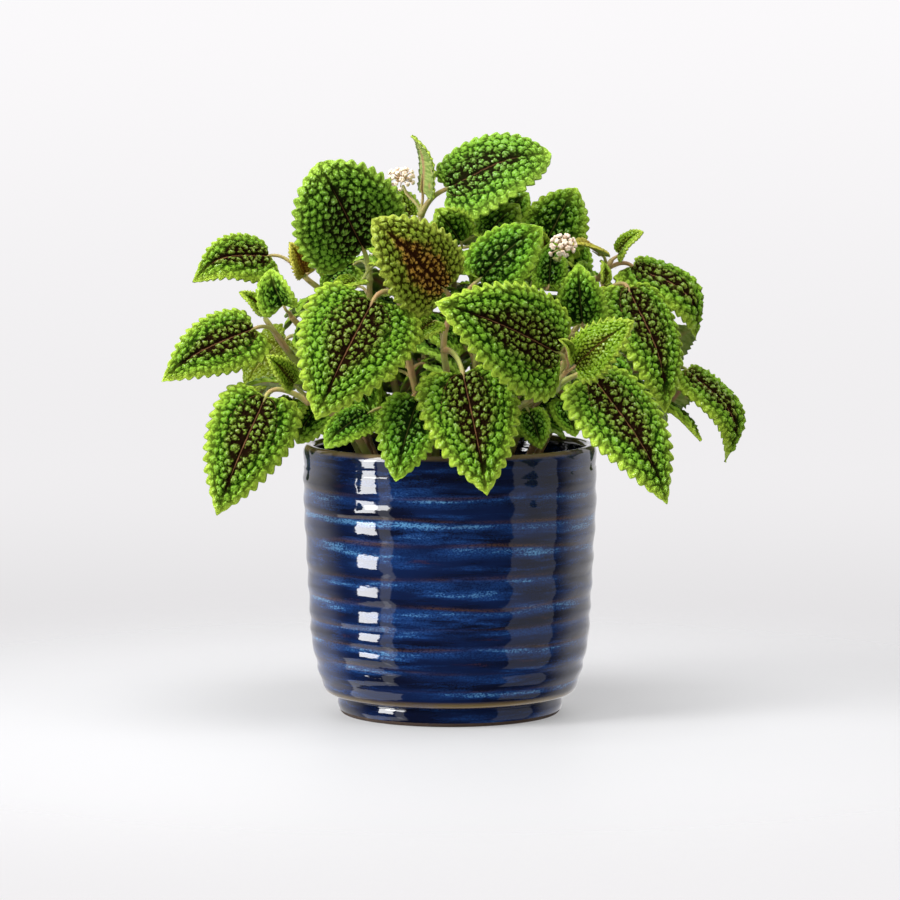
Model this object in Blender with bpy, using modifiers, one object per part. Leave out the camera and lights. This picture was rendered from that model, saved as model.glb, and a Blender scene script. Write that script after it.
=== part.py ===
"""A potted quilted-leaf pilea: a ribbed stoneware pot, its soil, leafy stems and two flower heads.

Lengths are in millimetres, and MM turns them into Blender's metres where a mesh or a curve is made.
+Z is up, the front faces -Y, and the origin is the centre of the foot ring's underside.
"""

import math
import random
from collections import namedtuple

import bmesh
import bpy
from mathutils import Matrix, Vector
from mathutils.bvhtree import BVHTree
from mathutils.geometry import interpolate_bezier

MM = 0.001
UP = Vector((0, 0, 1))

# The pot: a straight taper, a rounded lower corner and hand-thrown ribs at the heights of their crests
POT_HEIGHT = 129.0
RIM_RADIUS = 70.0
TAPER = 1 / 19
SHOULDER_TOP = 100.0
CORNER_TOP = 38.0
CORNER_BOTTOM = 13.0
CORNER_DEPTH = 4.4
CORNER_POWER = 1.5
RIB_CRESTS = (113.0, 102.0, 90.0, 75.0, 61.5, 51.0, 41.0, 30.0, 20.5)
RIB_HALF_DEPTH = 0.45
WALL = 5.5
FLOOR_TOP = 14.0
POT_STEPS = 36

# The pot's other profiles, as radius and height: the lip, the body's lower edge, the foot ring and the inside
LIP = ((RIM_RADIUS - 2.6, POT_HEIGHT), (RIM_RADIUS - 0.6, POT_HEIGHT - 1.2),
       (RIM_RADIUS + 0.2, POT_HEIGHT - 4), (RIM_RADIUS - 0.4, POT_HEIGHT - 10))
LOWER_EDGE = ((61.6, CORNER_BOTTOM), (60.2, 11.2), (57.2, 9.3))
FOOT = ((53.1, 8.4), (53.8, 6.6), (54.0, 4.6), (53.3, 1.8), (52.0, 0.0), (46.0, 0.0), (44.5, 6.0), (0.0, 6.0))
INSIDE = ((0.0, FLOOR_TOP), (50.0, FLOOR_TOP), (57.5, 24.0), (RIM_RADIUS - WALL, SHOULDER_TOP),
          (RIM_RADIUS - WALL, POT_HEIGHT - 3), (RIM_RADIUS - WALL + 0.9, POT_HEIGHT - 0.7))

# The soil
SOIL_TOP = 113.5
SOIL_GAP = 0.35
STEM_DEPTH = 12.0
HOLE_GAP = 1.1

# The blades
BLADE = 0.8
OUTLINE_BASE = 0.42
OUTLINE_TIP = 0.88
BASE_LOBE = 0.9
TOOTH = 0.13
ARCH_SKEW = 1.25

# The stems and stalks
STEM_RADIUS = 2.1
STEM_TIP_RADIUS = 1.3
STALK_SHARE = 0.03
STALK_THINNEST = 0.75
STALK_THICKEST = 1.25
PATH_STEPS = 2

# The room kept round each blade, stalk and stem, and round the pot's lip
BLADE_ROOM = 2.8
STALK_ROOM = 0.9
NODE_ROOM = 4.5
LIP_ROOM = 2.5
SMALL_BLADE = 18.0

# The flower heads
HEAD_RADIUS = 5.6
HEAD_CORE = 3.2
FLORETS = 15
HEAD_SPAN = 1.45
FLORET_RADIUS = 1.9
HEAD_GAP = 0.3
HEAD_ROOM = 1.5
FLOWER_STALK_RADIUS = 0.8

Leaf = namedtuple("Leaf", "base tip look width arch cup teeth spans")
Stem = namedtuple("Stem", "path leaves flower")
Taken = namedtuple("Taken", "stem kind tree")

# The front stems' ways, from the hole in the soil to the tip
FRONT_STEMS = (
    ((-6, 6, SOIL_TOP), (-11, 3, 160), (-15, -2, 205), (-14, -5, 238)),
    ((-17, -2, SOIL_TOP), (-27, -8, 160), (-37, -14, 192), (-38, -20, 213)),
    ((-9, -14, SOIL_TOP), (-15, -26, 150), (-21, -38, 180), (-24, -46, 202)),
    ((5, -18, SOIL_TOP), (1, -32, 150), (-3, -46, 179), (1, -46, 196)),
    ((-34, -18, SOIL_TOP), (-46, -30, 138), (-58, -38, 148), (-66, -42, 152)),
    ((-38, -6, SOIL_TOP), (-55, -12, 148), (-76, -22, 174), (-87, -24, 190)),
    ((-36, 8, SOIL_TOP), (-50, 4, 155), (-69, -16, 183), (-75, -22, 191)),
    ((-24, 22, SOIL_TOP), (-38, 14, 155), (-57, -2, 196), (-69, -8, 209)),
    ((16, -16, SOIL_TOP), (24, -28, 136), (34, -42, 151), (49, -59, 159)),
    ((24, -3, SOIL_TOP), (40, -8, 150), (58, -13, 182), (72, -14, 203)),
    ((26, 14, SOIL_TOP), (44, 12, 160), (62, 8, 194), (77, 4, 216)),
    ((38, 4, SOIL_TOP), (56, 8, 146), (84, 8, 162), (108, 2, 164)),
    ((11, -4, SOIL_TOP), (12, -18, 150), (12, -34, 185), (8, -42, 203)),
    ((12, 12, SOIL_TOP), (24, 12, 160), (37, 7, 198), (44, 4, 214)),
)

# The leaves that the front shows: stem, place up it, blade's base and tip, the way its upper face looks,
# width, arch of the midrib and fold of the halves
FRONT_LEAVES = (
    (1, 1.00, (-1, -14, 251), (48, -16, 268), (-0.1, -0.75, 0.65), 39, 0.10, -0.12),
    (1, 1.00, (-13, -7, 249), (-18, -19, 276), (0.95, -0.1, 0.2), 22, 0.10, 0.15),
    (1, 0.86, (6, -28, 229), (-5, -42, 245), (0.0, -0.9, 0.4), 22, 0.08, -0.1),
    (1, 0.86, (17, -14, 228), (33, -8, 243), (0.0, -0.6, 0.8), 26, 0.08, -0.1),
    (1, 0.93, (-19, 2, 238), (-30, 8, 252), (0.2, -0.7, 0.6), 20, 0.08, -0.1),
    (2, 0.95, (-41, -22, 223), (-61, -46, 264), (-0.1, -0.9, 0.35), 52, 0.08, -0.12),
    (2, 1.00, (-43, -29, 207), (-54, -37, 200), (-0.2, -0.4, 0.9), 16, 0.15, 0.3),
    (2, 1.00, (-33, -27, 215), (-22, -37, 208), (0.2, -0.4, 0.9), 16, 0.15, 0.3),
    (2, 0.80, (-46, 6, 214), (-62, 12, 200), (-0.3, -0.7, 0.6), 24, 0.12, -0.1),
    (3, 1.00, (-36, -66, 200), (-61, -100, 149), (-0.15, -0.85, 0.5), 51, 0.08, -0.12),
    (3, 0.45, (-15, -64, 155), (-25, -90, 120), (-0.05, -0.9, 0.35), 30, 0.10, -0.1),
    (3, 0.35, (-38, -44, 147), (-58, -60, 132), (-0.2, -0.7, 0.7), 24, 0.10, -0.1),
    (4, 0.80, (6, -68, 167), (17, -96, 114), (0.05, -0.95, 0.25), 46, 0.07, -0.1),
    (4, 0.80, (-8, -52, 190), (-19, -64, 180), (0.1, -0.7, 0.7), 16, 0.15, 0.2),
    (4, 1.00, (-4, -58, 205), (-39, -80, 236), (0.05, -0.8, 0.6), 37, 0.09, -0.1),
    (5, 1.00, (-86, -52, 155), (-108, -72, 102), (-0.3, -0.92, 0.25), 42, 0.08, -0.12),
    (5, 1.00, (-73, -58, 162), (-85, -68, 176), (0.1, -0.85, 0.4), 13, 0.08, 0.3),
    (5, 0.80, (-74, -26, 152), (-84, -36, 130), (-0.4, -0.8, 0.4), 20, 0.10, -0.1),
    (6, 0.80, (-92, -36, 186), (-135, -52, 163), (-0.25, -0.72, 0.65), 31, 0.10, -0.12),
    (6, 1.00, (-88, -24, 194), (-99, -30, 203), (-0.2, -0.75, 0.6), 10, 0.08, 0.3),
    (7, 0.78, (-78, -6, 179), (-97, -4, 154), (-0.5, -0.7, 0.5), 30, 0.12, -0.1),
    (7, 1.00, (-78, -34, 197), (-84, -34, 214), (-0.45, -0.85, 0.1), 19, 0.08, 0.5),
    (8, 1.00, (-86, -10, 219), (-124, -22, 208), (-0.1, -0.45, 0.9), 32, 0.17, -0.12),
    (8, 1.00, (-69, -12, 211), (-76, -18, 226), (0.2, -0.8, 0.4), 11, 0.08, 0.3),
    (8, 1.00, (-64, -6, 213), (-54, -4, 224), (0.0, -0.8, 0.5), 14, 0.08, 0.3),
    (9, 1.00, (50, -72, 177), (-7, -98, 202), (0.1, -0.72, 0.68), 47, 0.09, -0.12),
    (9, 1.00, (58, -77, 172), (84, -88, 193), (0.05, -0.85, 0.5), 23, 0.08, -0.1),
    (9, 1.00, (51, -80, 175), (45, -92, 185), (0.4, -0.75, 0.4), 9, 0.08, 0.5),
    (9, 0.95, (67, -62, 164), (101, -84, 109), (0.3, -0.82, 0.5), 41, 0.08, -0.12),
    (9, 0.40, (37, -37, 147), (43, -43, 130), (0.0, -0.8, 0.6), 17, 0.10, -0.1),
    (13, 0.45, (30, -44, 168), (37, -52, 152), (0.0, -0.8, 0.6), 17, 0.10, -0.1),
    (10, 0.35, (54, -29, 152), (59, -35, 135), (0.0, -0.8, 0.6), 17, 0.10, -0.1),
    (9, 0.80, (66, -40, 172), (86, -46, 158), (0.1, -0.8, 0.6), 24, 0.10, -0.1),
    (10, 0.95, (84, -18, 204), (102, -42, 147), (0.45, -0.75, 0.45), 38, 0.10, -0.12),
    (10, 0.75, (62, -38, 189), (60, -44, 217), (-0.15, -0.95, 0.2), 23, 0.08, -0.1),
    (11, 0.95, (87, 8, 215), (123, 4, 184), (0.25, -0.55, 0.8), 33, 0.17, -0.12),
    (11, 1.00, (81, 5, 219), (92, -1, 230), (0.0, -0.6, 0.8), 14, 0.10, 0.2),
    (11, 0.97, (72, 0, 219), (57, -12, 224), (0.1, -0.25, 0.95), 14, 0.10, 0.2),
    (12, 1.00, (113, -2, 164), (135, -10, 119), (0.75, -0.55, 0.4), 34, 0.15, -0.12),
    (12, 1.00, (113, 6, 158), (103, 12, 142), (0.3, 0.8, 0.4), 16, 0.10, -0.1),
    (13, 1.00, (14, -48, 210), (43, -42, 234), (-0.05, -0.8, 0.6), 30, 0.10, -0.12),
    (14, 1.00, (45, 12, 222), (61, 24, 250), (0.1, -0.75, 0.65), 32, 0.10, -0.12),
    (14, 0.93, (47, -8, 205), (49, -2, 226), (-0.1, -0.9, 0.4), 18, 0.08, -0.1),
)

# The flower heads: stem, middle of the head, and the way it looks
FLOWERS = (
    (1, (-23, 0, 255), (-0.15, -0.4, 0.9)),
    (14, (53, -24, 224), (0.1, -0.5, 0.85)),
)

# The back's stems, set out by rule: low and high ones take turns round the back of the pot,
# each way given as distances out from the middle and heights. The ring is wider than it is deep
BACK_STEMS = 7
BACK_FROM = 25.0
BACK_TO = 150.0
BACK_DEPTH = 0.72
LOW_WAY = ((39, SOIL_TOP), (54, 142), (78, 153), (98, 158))
HIGH_WAY = ((25, SOIL_TOP), (36, 165), (40, 198), (50, 222))

# The leaves set out by rule: pairs up each stem, each pair a quarter turn from the last
LOW_PAIRS = (0.95, 0.7, 0.46)
HIGH_PAIRS = (0.95, 0.68)
FRONT_PAIRS = (0.6,)
SPROUTING_STEMS = (3, 4, 10, 13, 14, 16, 18, 20)
PAIR_JITTER = 0.3
LONGEST_BLADE = 62.0
SHORTEST_BLADE = 36.0
LENGTH_SPREAD = (0.85, 1.1)
BLADE_SHAPE = 0.7
SHAPE_SPREAD = (0.9, 1.08)
LONGEST_STALK = 20.0
SHORTEST_STALK = 10.4
STALK_SPREAD = (0.8, 1.2)
DROOP_SPREAD = (-0.6, 0.1)
ARCH_SPREAD = (0.07, 0.13)
FOLD = -0.1
SPROUT_LENGTH = 13.0
SPROUT_SPREAD = (0.85, 1.2)
SPROUT_FOLD = 0.45
SWINGS = (0, -20, 20, -40, 40)
LIFTS = (0, 20, -20, 40)
SHRINKS = (1.0, 0.82, 0.66)
NUDGES = ((0, 0), (0, 4), (0, -4), (4, 0), (-4, 0), (4, 4), (-4, -4), (0, 8), (0, -8), (8, 0), (-8, 0))
FRONT_LIMIT = -52.0
FRONT_LEAN = 0.35
SEED = 41


def clear_scene():
    """Removes what the scene starts with."""
    for item in list(bpy.data.objects):
        bpy.data.objects.remove(item, do_unlink=True)


def new_collection(name):
    """A collection linked to the scene."""
    collection = bpy.data.collections.new(name)
    bpy.context.scene.collection.children.link(collection)
    return collection


def new_material(name, colour, roughness, metallic=0.0):
    """A Principled material of one colour."""
    material = bpy.data.materials.new(name)
    material.use_nodes = True
    shader = material.node_tree.nodes["Principled BSDF"]
    shader.inputs["Base Color"].default_value = (*colour, 1.0)
    shader.inputs["Roughness"].default_value = roughness
    shader.inputs["Metallic"].default_value = metallic
    material.diffuse_color = (*colour, 1.0)
    return material


def mesh_object(name, vertices, faces, material, collection):
    """An object from vertices in millimetres, its faces turned outwards."""
    mesh = bpy.data.meshes.new(name)
    mesh.from_pydata([Vector(v) * MM for v in vertices], [], faces)
    form = bmesh.new()
    form.from_mesh(mesh)
    bmesh.ops.recalc_face_normals(form, faces=form.faces[:])
    form.to_mesh(mesh)
    form.free()
    mesh.materials.append(material)
    item = bpy.data.objects.new(name, mesh)
    collection.objects.link(item)
    return item


def turned(name, profile, steps, material, collection):
    """A turned solid from a profile of (radius, height) pairs, outer side first and top to bottom."""
    mesh = bpy.data.meshes.new(name)
    points = [(radius * MM, 0, height * MM) for radius, height in profile]
    mesh.from_pydata(points, [(k, k + 1) for k in range(len(points) - 1)], [])
    mesh.materials.append(material)
    item = bpy.data.objects.new(name, mesh)
    collection.objects.link(item)
    screw = item.modifiers.new("turn", "SCREW")
    screw.steps = steps
    screw.render_steps = steps
    screw.use_merge_vertices = True
    screw.merge_threshold = 0.00001
    screw.use_normal_calculate = True
    return item


def tube(name, points, radii, sides_step, material, collection):
    """A round tube through the points, as a mesh with its caps closed."""
    curve = bpy.data.curves.new(name, "CURVE")
    curve.dimensions = "3D"
    curve.bevel_depth = MM
    curve.bevel_resolution = sides_step
    curve.use_fill_caps = True
    spline = curve.splines.new("POLY")
    spline.points.add(len(points) - 1)
    for knot, point, radius in zip(spline.points, points, radii):
        knot.co = (*(point * MM), 1)
        knot.radius = radius
    guide = bpy.data.objects.new(name, curve)
    collection.objects.link(guide)
    depsgraph = bpy.context.evaluated_depsgraph_get()
    mesh = bpy.data.meshes.new_from_object(guide.evaluated_get(depsgraph))
    bpy.data.objects.remove(guide)
    form = bmesh.new()
    form.from_mesh(mesh)
    bmesh.ops.remove_doubles(form, verts=form.verts, dist=0.00001)
    bmesh.ops.triangulate(form, faces=form.faces[:])
    bmesh.ops.recalc_face_normals(form, faces=form.faces[:])
    form.to_mesh(mesh)
    form.free()
    mesh.materials.clear()
    mesh.materials.append(material)
    item = bpy.data.objects.new(name, mesh)
    collection.objects.link(item)
    return item


def join_all(item, others, operation, collection):
    """Joins or cuts one object with the others by a single Boolean, then removes them."""
    tools = bpy.data.collections.new(item.name + "_tools")
    bpy.context.scene.collection.children.link(tools)
    for other in others:
        tools.objects.link(other)
        collection.objects.unlink(other)
    boolean = item.modifiers.new("join", "BOOLEAN")
    boolean.operation = operation
    boolean.solver = "MANIFOLD"
    boolean.operand_type = "COLLECTION"
    boolean.collection = tools
    depsgraph = bpy.context.evaluated_depsgraph_get()
    mesh = bpy.data.meshes.new_from_object(item.evaluated_get(depsgraph))
    item.modifiers.clear()
    item.data = mesh
    for other in others:
        bpy.data.objects.remove(other, do_unlink=True)
    bpy.data.collections.remove(tools)


def smooth_path(points):
    """A smooth way through the points."""
    first = points[0] * 2 - points[1]
    last = points[-1] * 2 - points[-2]
    knots = [first, *points, last]
    path = []
    for a, b, c, d in zip(knots, knots[1:], knots[2:], knots[3:]):
        for step in range(PATH_STEPS):
            t = step / PATH_STEPS
            bend = (a * 2 - b * 5 + c * 4 - d) * t * t + (b * 3 - c * 3 + d - a) * t ** 3
            path.append((b * 2 + (c - a) * t + bend) / 2)
    path.append(points[-1])
    return path


def along(path, place):
    """The point and the heading at a share of the path's length."""
    lengths = [(b - a).length for a, b in zip(path, path[1:])]
    left = place * sum(lengths)
    for a, b, length in zip(path, path[1:], lengths):
        if left <= length or b is path[-1]:
            return a.lerp(b, min(left / length, 1)), (b - a).normalized()
        left -= length


def midrib(leaf, u):
    """The midrib's point at u, from the base at 0 to the tip at 1, with its heading, face and side."""
    chord = leaf.tip - leaf.base
    look = (leaf.look - leaf.look.project(chord)).normalized()
    turn = math.pi * max(u, 0.001) ** ARCH_SKEW
    height = leaf.arch * chord.length
    point = leaf.base + chord * u + look * height * math.sin(turn)
    slope = height * math.cos(turn) * turn * ARCH_SKEW / max(u, 0.001)
    heading = (chord + look * slope).normalized()
    face = (look - look.project(heading)).normalized()
    return point, heading, face, heading.cross(face)


def half_width(leaf, u):
    """Half the blade's width at u."""
    peak = OUTLINE_BASE / (OUTLINE_BASE + OUTLINE_TIP)
    top = peak ** OUTLINE_BASE * (1 - peak) ** OUTLINE_TIP
    return leaf.width / 2 * u ** OUTLINE_BASE * (1 - u) ** OUTLINE_TIP / top


def blade_point(leaf, u, v, wide=1.0):
    """A point of the blade's middle sheet and its face: v is 0 on the midrib and 1 or -1 on an edge."""
    point, heading, face, side = midrib(leaf, u)
    width = half_width(leaf, u) * wide
    lobe = BASE_LOBE * math.sqrt(u) * (1 - u) ** 3 * leaf.width * v * v
    rise = width * leaf.cup * abs(v)
    return point + side * width * v - heading * lobe + face * rise, face


def edge_places(count):
    """Places from base to tip, closer together at both ends."""
    places = []
    for k in range(count + 1):
        t = k / count
        places.append(0.55 * (1 - math.cos(math.pi * t)) / 2 + 0.45 * t)
    return places


def chain_strip(inner, outer):
    """Triangles between two chains of (place, index) that share both ends."""
    faces = []
    i = j = 0
    while i < len(inner) - 1 or j < len(outer) - 1:
        ahead = i == len(inner) - 1 or (j < len(outer) - 1 and outer[j + 1][0] <= inner[i + 1][0])
        if ahead:
            face = (inner[i][1], outer[j][1], outer[j + 1][1])
            j += 1
        else:
            face = (inner[i][1], outer[j][1], inner[i + 1][1])
            i += 1
        if len(set(face)) == 3:
            faces.append(face)
    return faces


def blade_sheet(leaf):
    """The middle sheet of a toothed blade: points with their faces, triangles, and the rim from the base."""
    spans = max(leaf.teeth // 2, 2)
    sheet = [blade_point(leaf, 0, 0), blade_point(leaf, 1, 0)]
    faces = []
    rims = []

    def chain(places, side):
        made = [(0.0, 0)]
        for k, u in enumerate(places[1:-1], start=1):
            wide = 1 + TOOTH * (k % 2 - 0.5)
            sheet.append(blade_point(leaf, u, side, wide))
            made.append((u, len(sheet) - 1))
        return made + [(1.0, 1)]

    spine = chain([k / spans for k in range(spans + 1)], 0)
    for side in (1, -1):
        edge = chain(edge_places(leaf.teeth * 2), side)
        faces += [f if side > 0 else f[::-1] for f in chain_strip(spine, edge)]
        rims.append([index for place, index in edge])
    return sheet, faces, rims[0] + rims[1][-2:0:-1]


def blade_solid(leaf, thickness):
    """Vertices and triangles of a closed blade: two like sheets, joined round the edge."""
    sheet, faces, rim = blade_sheet(leaf)
    upper = [point + face * thickness / 2 for point, face in sheet]
    lower = [point - face * thickness / 2 for point, face in sheet]
    under = len(sheet)
    faces += [tuple(index + under for index in face[::-1]) for face in faces]
    for a, b in zip(rim, rim[1:] + rim[:1]):
        faces += [(a, b, b + under), (a, b + under, a + under)]
    return upper + lower, faces


def leaf_solid(node, leaf):
    """A blade with its four-sided stalk in one closed body: the stalk's last ring is the blade's own base."""
    sheet, faces, rim = blade_sheet(leaf)
    upper = [point + face * BLADE / 2 for point, face in sheet]
    lower = [point - face * BLADE / 2 for point, face in sheet]
    under = len(sheet)
    vertices = upper + lower
    faces += [tuple(index + under for index in face[::-1]) for face in faces]
    for a, b in zip(rim[1:], rim[2:]):
        faces += [(a, b, b + under), (a, b + under, a + under)]
    point, heading, face, side = midrib(leaf, 0)
    thick = stalk_radius(leaf)
    vertices += [point + side * thick, point - side * thick]
    right = under * 2
    left = right + 1
    for first, corner in ((rim[1], right), (rim[-1], left)):
        faces += [(0, first, corner), (first, first + under, corner), (first + under, under, corner)]
    path = stalk_path(node, leaf)
    ring = [0, right, under, left]
    for here, ahead in zip(path[-2::-1], path[:0:-1]):
        way = (ahead - here).normalized()
        top = (face - face.project(way)).normalized()
        out = way.cross(top)
        start = len(vertices)
        vertices += [here + top * thick, here + out * thick, here - top * thick, here - out * thick]
        for k in range(4):
            a, b = ring[k], ring[(k + 1) % 4]
            c, d = start + k, start + (k + 1) % 4
            faces += [(a, b, d), (a, d, c)]
        ring = [start, start + 1, start + 2, start + 3]
    faces += [(ring[0], ring[1], ring[2]), (ring[0], ring[2], ring[3])]
    return vertices, faces


def stalk_radius(leaf):
    """The stalk's radius, from the blade's width."""
    return min(max(leaf.width * STALK_SHARE, STALK_THINNEST), STALK_THICKEST)


def stalk_path(node, leaf):
    """The stalk's way from the middle of the stem to the blade's base."""
    heading = midrib(leaf, 0)[1]
    reach = (leaf.base - node).length
    out = node + (leaf.base - node) * 0.3 + UP * reach * 0.15
    return interpolate_bezier(node, out, leaf.base - heading * reach * 0.4, leaf.base, leaf.spans + 1)


def square_tube(points, radius):
    """Vertices and faces of a plain four-sided sleeve round the points."""
    vertices = []
    faces = []
    for k, point in enumerate(points):
        heading = (points[min(k + 1, len(points) - 1)] - points[max(k - 1, 0)]).normalized()
        side = heading.orthogonal().normalized()
        other = heading.cross(side)
        vertices += [point + way * radius for way in (side, other, -side, -other)]
    for k in range(len(points) - 1):
        for corner in range(4):
            a = k * 4 + corner
            b = k * 4 + (corner + 1) % 4
            faces.append((a, b, b + 4, a + 4))
    return vertices, faces


def tree_of(*shapes):
    """One search tree over several shapes of (vertices, faces)."""
    vertices = []
    faces = []
    for points, polygons in shapes:
        start = len(vertices)
        vertices += points
        faces += [tuple(index + start for index in polygon) for polygon in polygons]
    return BVHTree.FromPolygons(vertices, faces)


def leaf_room(node, leaf):
    """The room that a blade takes up, the room of the free part of its stalk, and the corners of both."""
    blade = blade_solid(leaf._replace(width=leaf.width * 1.05), BLADE_ROOM)
    start = min(NODE_ROOM / (leaf.base - node).length, 0.7)
    free = [along(stalk_path(node, leaf), share)[0] for share in (start, (start + 0.9) / 2, 0.9)]
    sleeve = square_tube(free, stalk_radius(leaf) + STALK_ROOM)
    return tree_of(blade), tree_of(sleeve), blade[0] + free


def meets_pot(points):
    """Whether a point lies in the lip, in the pot's wall or under the soil."""
    for point in points:
        radius = math.hypot(point.x, point.y)
        inside = radius < RIM_RADIUS - WALL - LIP_ROOM
        outside = radius > RIM_RADIUS + LIP_ROOM
        if point.z < POT_HEIGHT + LIP_ROOM and not outside and not (inside and point.z > SOIL_TOP + LIP_ROOM):
            return True
    return False


def moved(node, leaf, swing, lift, shrink):
    """The leaf turned about its node: swing is level, lift is up, and shrink draws it in."""
    away = leaf.base - node
    level = Vector((away.y, -away.x, 0))
    axis = level.normalized() if level.length > 0.1 else Vector((1, 0, 0))
    turn = Matrix.Rotation(math.radians(swing), 3, "Z") @ Matrix.Rotation(math.radians(lift), 3, axis)
    base = node + turn @ (away * (0.5 + shrink / 2))
    tip = base + turn @ ((leaf.tip - leaf.base) * shrink)
    return leaf._replace(base=base, tip=tip, look=turn @ leaf.look, width=leaf.width * shrink)


def is_clear(stem, leaf, blade, sleeve, taken):
    """Whether a leaf keeps clear of all that is placed; stalks and small blades may touch their own stem."""
    for other in taken:
        own = other.stem == stem
        if not (own and other.kind == "stem" and leaf.width < SMALL_BLADE) and blade.overlap(other.tree):
            return False
        if not (own and other.kind != "blade") and sleeve.overlap(other.tree):
            return False
    return True


def anywhere(corners):
    """Every place will do."""
    return True


def behind_front(corners):
    """Whether a leaf keeps above the lip and behind the front's leaves, which lean back as they rise."""
    for corner in corners:
        limit = FRONT_LIMIT + (corner.z - POT_HEIGHT) * FRONT_LEAN
        if corner.z < POT_HEIGHT + LIP_ROOM or corner.y < limit:
            return False
    return True


def settle(stem, node, leaf, tries, taken, fits):
    """The first of the tried poses that is clear of the pot and of all that is placed, or None."""
    for swing, lift, shrink in tries:
        trial = moved(node, leaf, swing, lift, shrink)
        blade, sleeve, corners = leaf_room(node, trial)
        if fits(corners) and not meets_pot(corners) and is_clear(stem, trial, blade, sleeve, taken):
            taken += [Taken(stem, "blade", blade), Taken(stem, "stalk", sleeve)]
            return trial
    return None


def is_low(index):
    """Whether a back stem is one of the low ones."""
    return index % 2 == 0


def stem_ways():
    """The ways of all stems, the front's by hand and the back's by rule."""
    ways = [[Vector(point) for point in way] for way in FRONT_STEMS]
    for index in range(BACK_STEMS):
        turn = math.radians(BACK_FROM + (BACK_TO - BACK_FROM) * index / (BACK_STEMS - 1))
        out = Vector((math.cos(turn), math.sin(turn) * BACK_DEPTH, 0))
        way = LOW_WAY if is_low(index) else HIGH_WAY
        ways.append([out * reach + UP * height for reach, height in way])
    return ways


def stem_path(way):
    """A stem's way, with its straight foot in the soil."""
    foot = way[0] - UP * STEM_DEPTH
    neck = way[0] + UP * 2
    return [foot, *smooth_path([neck, *way[1:]])]


def teeth_for(width):
    """Teeth to a side: fewer on small blades."""
    return 8 if width > 34 else 6 if width > 21 else 4 if width > 12 else 3


def front_leaf(row):
    """A leaf from a row of the front's table."""
    stem, place, base, tip, look, width, arch, cup = row
    leaf = Leaf(Vector(base), Vector(tip), Vector(look), width, arch, cup, teeth_for(width), 3)
    return stem - 1, place, leaf


def rule_leaf(path, place, order, side, draw):
    """A leaf of a pair: pairs take turns across the stem, and blades grow shorter up it."""
    node, heading = along(path, place)
    level = heading.cross(UP)
    across = level.normalized() if level.length > 0.2 else Vector((1, 0, 0))
    other = heading.cross(across)
    turn = math.pi / 2 * order + draw.uniform(-PAIR_JITTER, PAIR_JITTER)
    out = (across * math.cos(turn) + other * math.sin(turn)) * side
    radial = Vector((node.x, node.y, 0)) / RIM_RADIUS
    length = (LONGEST_BLADE + (SHORTEST_BLADE - LONGEST_BLADE) * place) * draw.uniform(*LENGTH_SPREAD)
    width = length * BLADE_SHAPE * draw.uniform(*SHAPE_SPREAD)
    stalk = (LONGEST_STALK + (SHORTEST_STALK - LONGEST_STALK) * place) * draw.uniform(*STALK_SPREAD)
    base = node + (out * 0.85 + heading * 0.35 + radial * 0.3).normalized() * stalk
    chord = out * 0.8 + radial * 0.55 + UP * draw.uniform(*DROOP_SPREAD)
    look = UP * 0.6 + radial * 0.75 + out * 0.25
    tip = base + chord.normalized() * length
    leaf = Leaf(base, tip, look, width, draw.uniform(*ARCH_SPREAD), FOLD, 5 if width > 32 else 4, 2)
    return node, leaf


def pair_places(stem):
    """Places of a stem's rule pairs."""
    if stem < len(FRONT_STEMS):
        return FRONT_PAIRS
    return LOW_PAIRS if is_low(stem - len(FRONT_STEMS)) else HIGH_PAIRS


def sprout(path, order, side, draw):
    """A small folded leaf of the pair at a stem's tip."""
    node, heading = along(path, 1.0)
    across = heading.orthogonal().normalized()
    other = heading.cross(across)
    turn = math.pi / 2 * order
    out = (across * math.cos(turn) + other * math.sin(turn)) * side
    length = SPROUT_LENGTH * draw.uniform(*SPROUT_SPREAD)
    base = node + (heading + out).normalized() * 3
    chord = (heading * 0.8 + out).normalized() * length
    leaf = Leaf(base, base + chord, heading - out * 0.4, length * 0.6, 0.1, SPROUT_FOLD, 2, 1)
    return node, leaf


def rule_leaves(paths, draw):
    """The leaves set out by rule, each with its stem and node: the sprouts first, then the pairs."""
    for stem, path in enumerate(paths):
        if stem + 1 in SPROUTING_STEMS:
            for side in (1, -1):
                yield stem, *sprout(path, stem, side, draw)
    for order in range(len(LOW_PAIRS)):
        for stem, path in enumerate(paths):
            places = pair_places(stem)
            if order < len(places):
                for side in (1, -1):
                    yield stem, *rule_leaf(path, places[order], order + stem, side, draw)


def grow():
    """All stems with their leaves and flowers, each set clear of the others."""
    paths = [stem_path(way) for way in stem_ways()]
    flowers = {stem - 1: (Vector(centre), Vector(look).normalized()) for stem, centre, look in FLOWERS}
    taken = []
    for stem, path in enumerate(paths):
        taken.append(Taken(stem, "stem", tree_of(square_tube(path[1:], STEM_RADIUS + STALK_ROOM))))
    for stem, (centre, look) in flowers.items():
        ball = [centre - UP * HEAD_RADIUS, centre + UP * HEAD_RADIUS]
        taken.append(Taken(stem, "head", tree_of(square_tube(ball, HEAD_RADIUS + HEAD_ROOM))))
    leaves = [[] for path in paths]
    nudges = [(swing, lift, 1.0) for swing, lift in NUDGES]
    for row in FRONT_LEAVES:
        stem, place, leaf = front_leaf(row)
        node = along(paths[stem], place)[0]
        leaves[stem].append((node, settle(stem, node, leaf, nudges, taken, anywhere)))
    tries = [(swing, lift, shrink) for shrink in SHRINKS for swing in SWINGS for lift in LIFTS]
    for stem, node, leaf in rule_leaves(paths, random.Random(SEED)):
        fits = behind_front if stem < len(FRONT_STEMS) else anywhere
        leaves[stem].append((node, settle(stem, node, leaf, tries, taken, fits)))
    return [Stem(path, [pair for pair in held if pair[1]], flowers.get(stem))
            for stem, (path, held) in enumerate(zip(paths, leaves))]


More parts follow.
